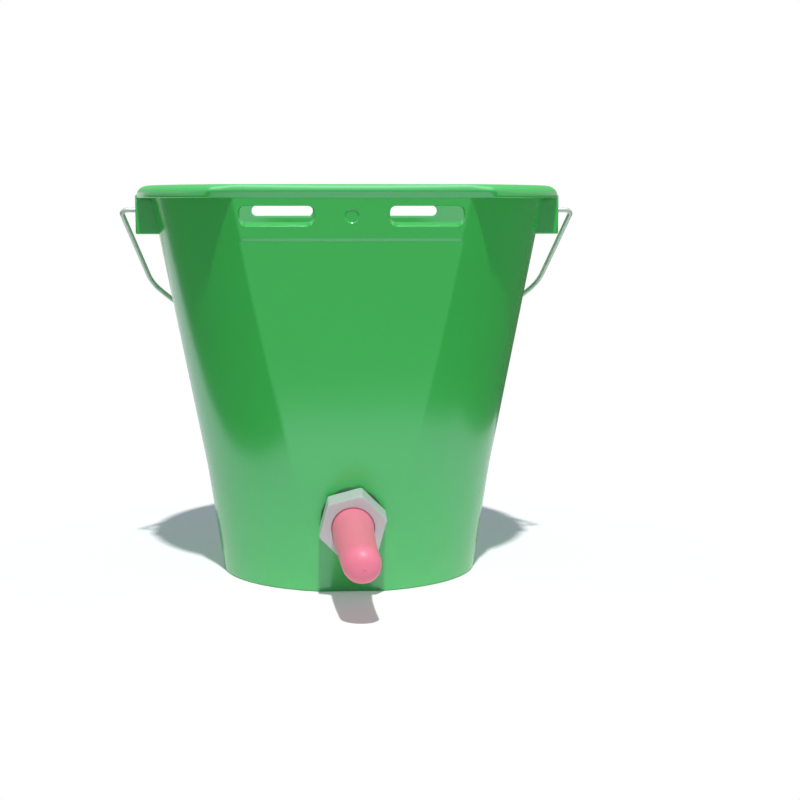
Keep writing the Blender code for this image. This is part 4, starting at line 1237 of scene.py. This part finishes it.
# %% [markdown]
# The two gaskets are flat rubber rings that seal the hole, both of red rubber. The outer one is drawn
# dark, in a near-black green: painted shade for the shadowed gap behind the nut, so that it shows dark
# outside and red inside. A torus would be too round for them. They are a turned rectangle with its
# edges rounded.

# %% Gaskets
def make_gasket(name, back, finish):
    """A rubber ring: a rectangle with its edges rounded, turned."""
    inner, front = HOLE_RADIUS, back + GASKET_THICKNESS
    corners = [(inner, front), (GASKET_RADIUS, front), (GASKET_RADIUS, back), (inner, back)]
    path = rounded_path(corners, GASKET_ROUND, 5)
    return dress(closed_ring(name, turned_points(path[:, 0], path[:, 1])), "bucket", "gasket", finish, name)


# The outer ring takes the painted-shade finish, near-black green for the shadow of the gap.
make_gasket("outer_gasket", GAP, GASKET_PAINTED_SHADE)
make_gasket("inner_gasket", INNER_GASKET_BACK, GASKET_RED)

# %% [markdown]
# The union nut is six-sided outside and round inside. A cylinder of six sides, bevelled and bored by a
# Boolean, would be near it, but its front would be cut into thin slivers. Here each row has a share
# from 0, round, to 1, six-sided. So one grid runs from the round mouth out over the front and down
# the flats, and the six corners are softened and cut back at both ends.

# %% Outline of the nut
def hexagon_radius(turn, flats, softness):
    """Reach of a six-sided outline: the softened smaller of the two nearest flats' distances."""
    off = (turn - NUT_TURN + math.pi / 6) % (math.pi / 3) - math.pi / 6
    near = math.pi / 6 - np.abs(off)
    return soft_least(flats / 2 / np.cos(near), flats / 2 / np.cos(math.pi / 3 - near), softness)


# %% The nut's rows
def make_nut():
    """The nut: out over the front face, down the six flats, back in and up the bore to the mouth.

    Each row is (radius of the round part, share of the hexagon, inset from its flats, station). At the
    two ends a cone cuts the six corners back, as it does on a turned nut.
    """
    turn = np.linspace(0, 2 * math.pi, NUT_COLUMNS, endpoint=False)
    mouth, bore = TEAT_BASE_RADIUS + GAP, SPIGOT_RADIUS + GAP
    plate = NUT_FRONT - NUT_PLATE
    corner = NUT_FLATS / 2 / math.cos(math.pi / 6)
    rows = [(mouth + out, 0.0, 0.0, NUT_FRONT - drop)
            for out, drop in ((0.0, 0.0009), (0.0001, 0.0004), (0.0004, 0.0001), (NUT_MOUTH_ROUND, 0.0))]
    rows += [(mouth + NUT_MOUTH_ROUND, share, NUT_EDGE_INSET, NUT_FRONT)
             for share in (0.15, 0.35, 0.6, 0.82, 1.0)]
    rows += [(0.0, 1.0, inset, NUT_FRONT - drop)
             for inset, drop in ((0.0003, 0.00006), (0.0001, 0.0002), (0.0, 0.0005), (0.0, 0.0009))]
    rows += [(0.0, 1.0, 0.0, station) for station in np.linspace(NUT_FRONT - 0.002, NUT_BACK + 0.001, 8)]
    rows += [(0.0, 1.0, inset, NUT_BACK + lift)
             for inset, lift in ((0.0, 0.0004), (0.0002, 0.0001), (0.0005, 0.0))]
    rows += [(bore + 0.0005, share, NUT_EDGE_INSET, NUT_BACK) for share in (0.6, 0.2, 0.0)]
    rows += [(bore, 0.0, 0.0, station) for station in np.linspace(NUT_BACK + 0.0005, plate, 6)]
    rows += [(mouth, 0.0, 0.0, plate), (mouth, 0.0, 0.0, NUT_FRONT - 0.0018)]
    round_r, share, inset, station = (column[:, None] for column in np.array(rows).T)
    hexagon = hexagon_radius(turn[None, :], NUT_FLATS, NUT_CORNER_SOFTNESS) - inset
    end = np.minimum(NUT_FRONT - station, station - NUT_BACK)
    limit = corner - NUT_CORNER_CUT + NUT_CUT_SLOPE * np.minimum(end, NUT_CUT_HEIGHT)
    hexagon = soft_least(hexagon, limit - inset, NUT_CUT_SOFTNESS)
    points = turned_points(round_r + (hexagon - round_r) * share, station[:, 0])
    piece = closed_ring("nut", points, smooth_angle=28)
    return dress(piece, "bucket", "nut", NUT_PALE, "union_nut")


make_nut()

# %% [markdown]
# The teat is a soft rubber tube with a round end, a small hole in its tip and a flange that the nut
# holds. A capsule would lack its slight waist and its inside. Its section is turned, and then the whole
# is bent: further to the side and further down the further out, by the square of the way. Soft rubber
# hangs like that when it has been pulled one way.

# %% Section of the teat
def teat_profile():
    """Radius and station round the teat's section, from the hole in the tip out, back and in again.

    The side tapers evenly from base to tip, less a waist of sine squared, and the end is a quarter
    circle round to a nearly flat crown.
    """
    skin, corner, crown, hole = 0.0034, 0.0106, 0.0004, 0.0003
    shoulder = TEAT_TIP - crown - corner
    out_r, out_s = quarter(corner, 90, 0, 16)
    in_r, in_s = quarter(corner - skin, 0, 90, 8)
    middle = TEAT_TIP_RADIUS - corner
    side = np.linspace(shoulder, NUT_FRONT, 26)[1:]
    share = (shoulder - side) / (shoulder - NUT_FRONT)
    side_r = TEAT_TIP_RADIUS + (TEAT_BASE_RADIUS - TEAT_TIP_RADIUS) * share
    side_r -= TEAT_WAIST * np.sin(math.pi * share) ** 2
    end_r = np.array([hole, hole + 0.0001, hole + 0.0003, 0.0010])
    end_s = TEAT_TIP - crown * ramp(end_r, 0.0, 2 * middle) - np.array([0.0003, 0.0001, 0.0, 0.0])
    flange = SPIGOT_RADIUS - GAP
    seat = TEAT_FLANGE_FRONT - TEAT_FLANGE
    inner = TEAT_BASE_RADIUS - skin
    radii = np.concatenate([end_r, middle + out_r, side_r, [TEAT_BASE_RADIUS, flange, flange, inner, inner],
                            [TEAT_TIP_RADIUS - skin], middle + in_r, [hole]])
    stations = np.concatenate([end_s, shoulder + out_s, side,
                               [TEAT_FLANGE_FRONT, TEAT_FLANGE_FRONT, seat, seat, NUT_FRONT],
                               [shoulder], shoulder + in_s, [TEAT_TIP - crown - skin]])
    return radii, stations


# %% The bent teat
def make_teat():
    """The turned teat, bent sideways and down by the square of the way out from the nut."""
    radii, stations = teat_profile()
    turn = np.linspace(0, 2 * math.pi, TEAT_COLUMNS, endpoint=False)
    away = (np.maximum(stations - NUT_FRONT, 0.0) / TEAT_REACH)[:, None] ** 2
    x = radii[:, None] * np.cos(turn) + TEAT_SIDEWAYS * away
    up = radii[:, None] * np.sin(turn) - TEAT_DROOP * away
    points = on_axis(x, up, stations[:, None])
    return dress(closed_ring("teat", points, smooth_angle=50), "bucket", "teat", TEAT_PINK, "teat")


make_teat()

# %% [markdown]
# The valve inside the bucket, its seat and its ball keep their construction shapes, which are right
# as they are, and take a finish of their own.

# %% Finishes of the pieces that keep their shapes
for node, finish in (("valve_body", VALVE_GREY), ("valve_seat", VALVE_GREY), ("check_ball", BALL_WHITE)):
    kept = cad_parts[node]
    for place in range(max(1, len(kept.material_slots))):
        if kept.material_slots:
            kept.material_slots[place].material = finish
        else:
            kept.data.materials.append(finish)
    print("%s keeps its shape, in %s" % (node, finish.name))

# %% [markdown]
# The stage is a white sheet under one high lamp in front, with a soft fill from the world. The lamp
# is a sun of two degrees, so the rim throws a clear shade on the wall below it. Glossy plastic shows
# its surroundings, so these matter as much as the lamp. The sheet's sides slant, and the wall reflects
# them: pale lower down, where it sees the sheet, and in two darker lobes above, where the sheet ends
# and a dim room begins. Area lamps beside the bucket would be the usual way, but each would show as a
# hard bright patch on this wall. So the world holds the studio, in three looks: white for the camera,
# a fill for diffuse light, and a room for reflections.

# %% Floor
SHEET_LEFT = ((-0.46, -0.06), (-0.03, -0.305), (1.60, -1.39))
SHEET_RIGHT = ((-0.46, 0.10), (-0.08, 0.36), (0.48, 0.36), (0.60, 0.05))
SHEET_ROWS = 104
SHEET_COLUMNS = 9
SHEET_DROP = 0.0002
SHEET_TONE = (0.96, 0.93, 0.93, 1.0)
SHEET_ROUGHNESS = 0.80
SHEET_GLOW = 0.11


def make_floor():
    """A plain white sheet: its sides are straight lines through the (y, x) corners of left and right.

    It lies a hair below the base, so that the two don't share a plane. To the camera alone it glows
    a little, so that it meets the white behind it.
    """
    along = np.linspace(SHEET_LEFT[0][0], SHEET_LEFT[-1][0], SHEET_ROWS)
    left, right = (np.interp(along, *np.array(side).T)[:, None] for side in (SHEET_LEFT, SHEET_RIGHT))
    x = left + (right - left) * np.linspace(0.0, 1.0, SHEET_COLUMNS)
    y = np.repeat(along[:, None], SHEET_COLUMNS, axis=1)
    points = np.stack([x, y, np.full_like(x, -SHEET_DROP)], axis=2)
    index = np.arange(x.size).reshape(x.shape)
    mesh = bpy.data.meshes.new("floor")
    mesh.from_pydata(points.reshape(-1, 3).tolist(), [], grid_cells(index, wrap_columns=False).tolist())
    made = bpy.data.objects.new("floor", mesh)
    bpy.context.scene.collection.objects.link(made)
    finish = bpy.data.materials.new("white_sheet")
    finish.use_nodes = True
    tree = finish.node_tree
    shader = tree.nodes["Principled BSDF"]
    shader.inputs["Base Color"].default_value = SHEET_TONE
    shader.inputs["Roughness"].default_value = SHEET_ROUGHNESS
    shader.inputs["Specular IOR Level"].default_value = 0.0
    shader.inputs["Emission Color"].default_value = (1.0, 1.0, 1.0, 1.0)
    rays = tree.nodes.new("ShaderNodeLightPath").outputs
    glow = math_node(tree, "MULTIPLY", rays["Is Camera Ray"], SHEET_GLOW)
    tree.links.new(glow, shader.inputs["Emission Strength"])
    mesh.materials.append(finish)
    print("sheet: %d points" % len(mesh.vertices))


make_floor()


# %% World
def make_world(fill_above, fill_left, fill_right, front_room, side_room, back_room):
    """White to the camera, a soft fill for the object, and a studio for its reflections.

    The fill comes from above and, with one tone at each side, from below. In the reflections the studio
    is white from the horizon up, but only from high up in front, and greyer low at the back. Lower down,
    past the sheet, the room has one tone in front and one at the sides, and behind on the left it is
    white again. Every border in it is a smooth S over one coordinate of the direction.
    """
    world = bpy.data.worlds.new("studio")
    bpy.context.scene.world = world
    world.use_nodes = True
    tree = world.node_tree
    tree.nodes.clear()
    rays = tree.nodes.new("ShaderNodeLightPath").outputs
    direction = tree.nodes.new("ShaderNodeTexCoord").outputs["Generated"]
    parts = add_node(tree, "ShaderNodeSeparateXYZ", Vector=direction).outputs

    def eased(value, low, high, at_low, at_high):
        """A smooth S from at_low to at_high, while value goes from low to high."""
        return add_node(tree, "ShaderNodeMapRange", {"interpolation_type": "SMOOTHSTEP"}, Value=value,
                        From_Min=low, From_Max=high, To_Min=at_low, To_Max=at_high).outputs[0]

    room = eased(parts["Y"], -0.90, -0.55, front_room, side_room)
    left_behind = math_node(tree, "MULTIPLY", eased(parts["Y"], 0.76, 0.84, 0.0, 1.0),
                            eased(parts["X"], -0.10, 0.05, 1.0, 0.0))
    low_down = math_node(tree, "MAXIMUM", room, left_behind)
    upper = eased(parts["Z"], -0.06, 0.06, 0.0, 1.0)
    behind = math_node(tree, "MULTIPLY", eased(parts["Y"], 0.10, 0.60, 0.0, 1.0),
                       eased(parts["Z"], 0.30, 0.70, 1.0 - back_room, 0.0))
    over_camera = math_node(tree, "MAXIMUM", eased(parts["Y"], -0.80, -0.35, 0.0, 1.0),
                            eased(parts["Z"], 0.30, 0.50, 0.0, 1.0))
    high_up = math_node(tree, "MULTIPLY", math_node(tree, "MULTIPLY", upper, over_camera),
                        math_node(tree, "SUBTRACT", 1.0, behind))
    studio = math_node(tree, "MAXIMUM", low_down, high_up)
    shiny = math_node(tree, "MAXIMUM", rays["Is Glossy Ray"], rays["Is Transmission Ray"])
    from_below = blend_colours(tree, eased(parts["X"], -0.3, 0.3, 0.0, 1.0), fill_left, fill_right)
    fill = blend_colours(tree, upper, from_below, fill_above)
    seen = blend_colours(tree, shiny, fill, studio)
    seen = blend_colours(tree, rays["Is Camera Ray"], seen, (1.0, 1.0, 1.0))
    background = add_node(tree, "ShaderNodeBackground", Color=seen, Strength=1.0)
    output = tree.nodes.new("ShaderNodeOutputWorld")
    tree.links.new(background.outputs[0], output.inputs["Surface"])


make_world(fill_above=(0.18, 0.225, 0.275), fill_left=(0.55, 0.55, 0.55), fill_right=(0.76, 0.76, 0.76),
           front_room=0.30, side_room=0.12, back_room=0.55)


# %% Lamp
def high_lamp(elevation, azimuth, width, strength):
    """A distant lamp, all angles in degrees. Its azimuth is counted from the front towards +X."""
    light = bpy.data.lights.new("high_lamp", "SUN")
    light.angle = math.radians(width)
    light.energy = strength
    lamp = bpy.data.objects.new("high_lamp", light)
    bpy.context.scene.collection.objects.link(lamp)
    lamp.location = (0.0, -1.0, 2.0)
    lamp.rotation_euler = (math.radians(90.0 - elevation), 0.0, math.radians(azimuth))
    print("lamp: %.1f degrees up, strength %.2f" % (elevation, strength))


high_lamp(elevation=62.5, azimuth=2.0, width=2.0, strength=2.68)

# %% [markdown]
# The camera stands a little over a metre in front, just left of the middle, and looks slightly down.
# It could be turned by hand until the picture looks right. Here its place, turn and lens were worked
# out instead from where the rim, the base, the ears and the nut have to fall in the picture.

# %% Camera
SENSOR_WIDTH = 36.0
LENS = 72.99
CAMERA_PLACE = (-0.0271, -1.1497, 0.2580)
LOOKS_DOWN = 6.92
LOOKS_RIGHT = 3.18

camera_data = bpy.data.cameras.new("camera")
camera_data.sensor_width = SENSOR_WIDTH
camera_data.lens = LENS
camera = bpy.data.objects.new("camera", camera_data)
bpy.context.scene.collection.objects.link(camera)
camera.location = CAMERA_PLACE
camera.rotation_euler = (math.radians(90 - LOOKS_DOWN), 0.0, math.radians(-LOOKS_RIGHT))
bpy.context.scene.camera = camera
bpy.context.scene.view_settings.view_transform = "Standard"
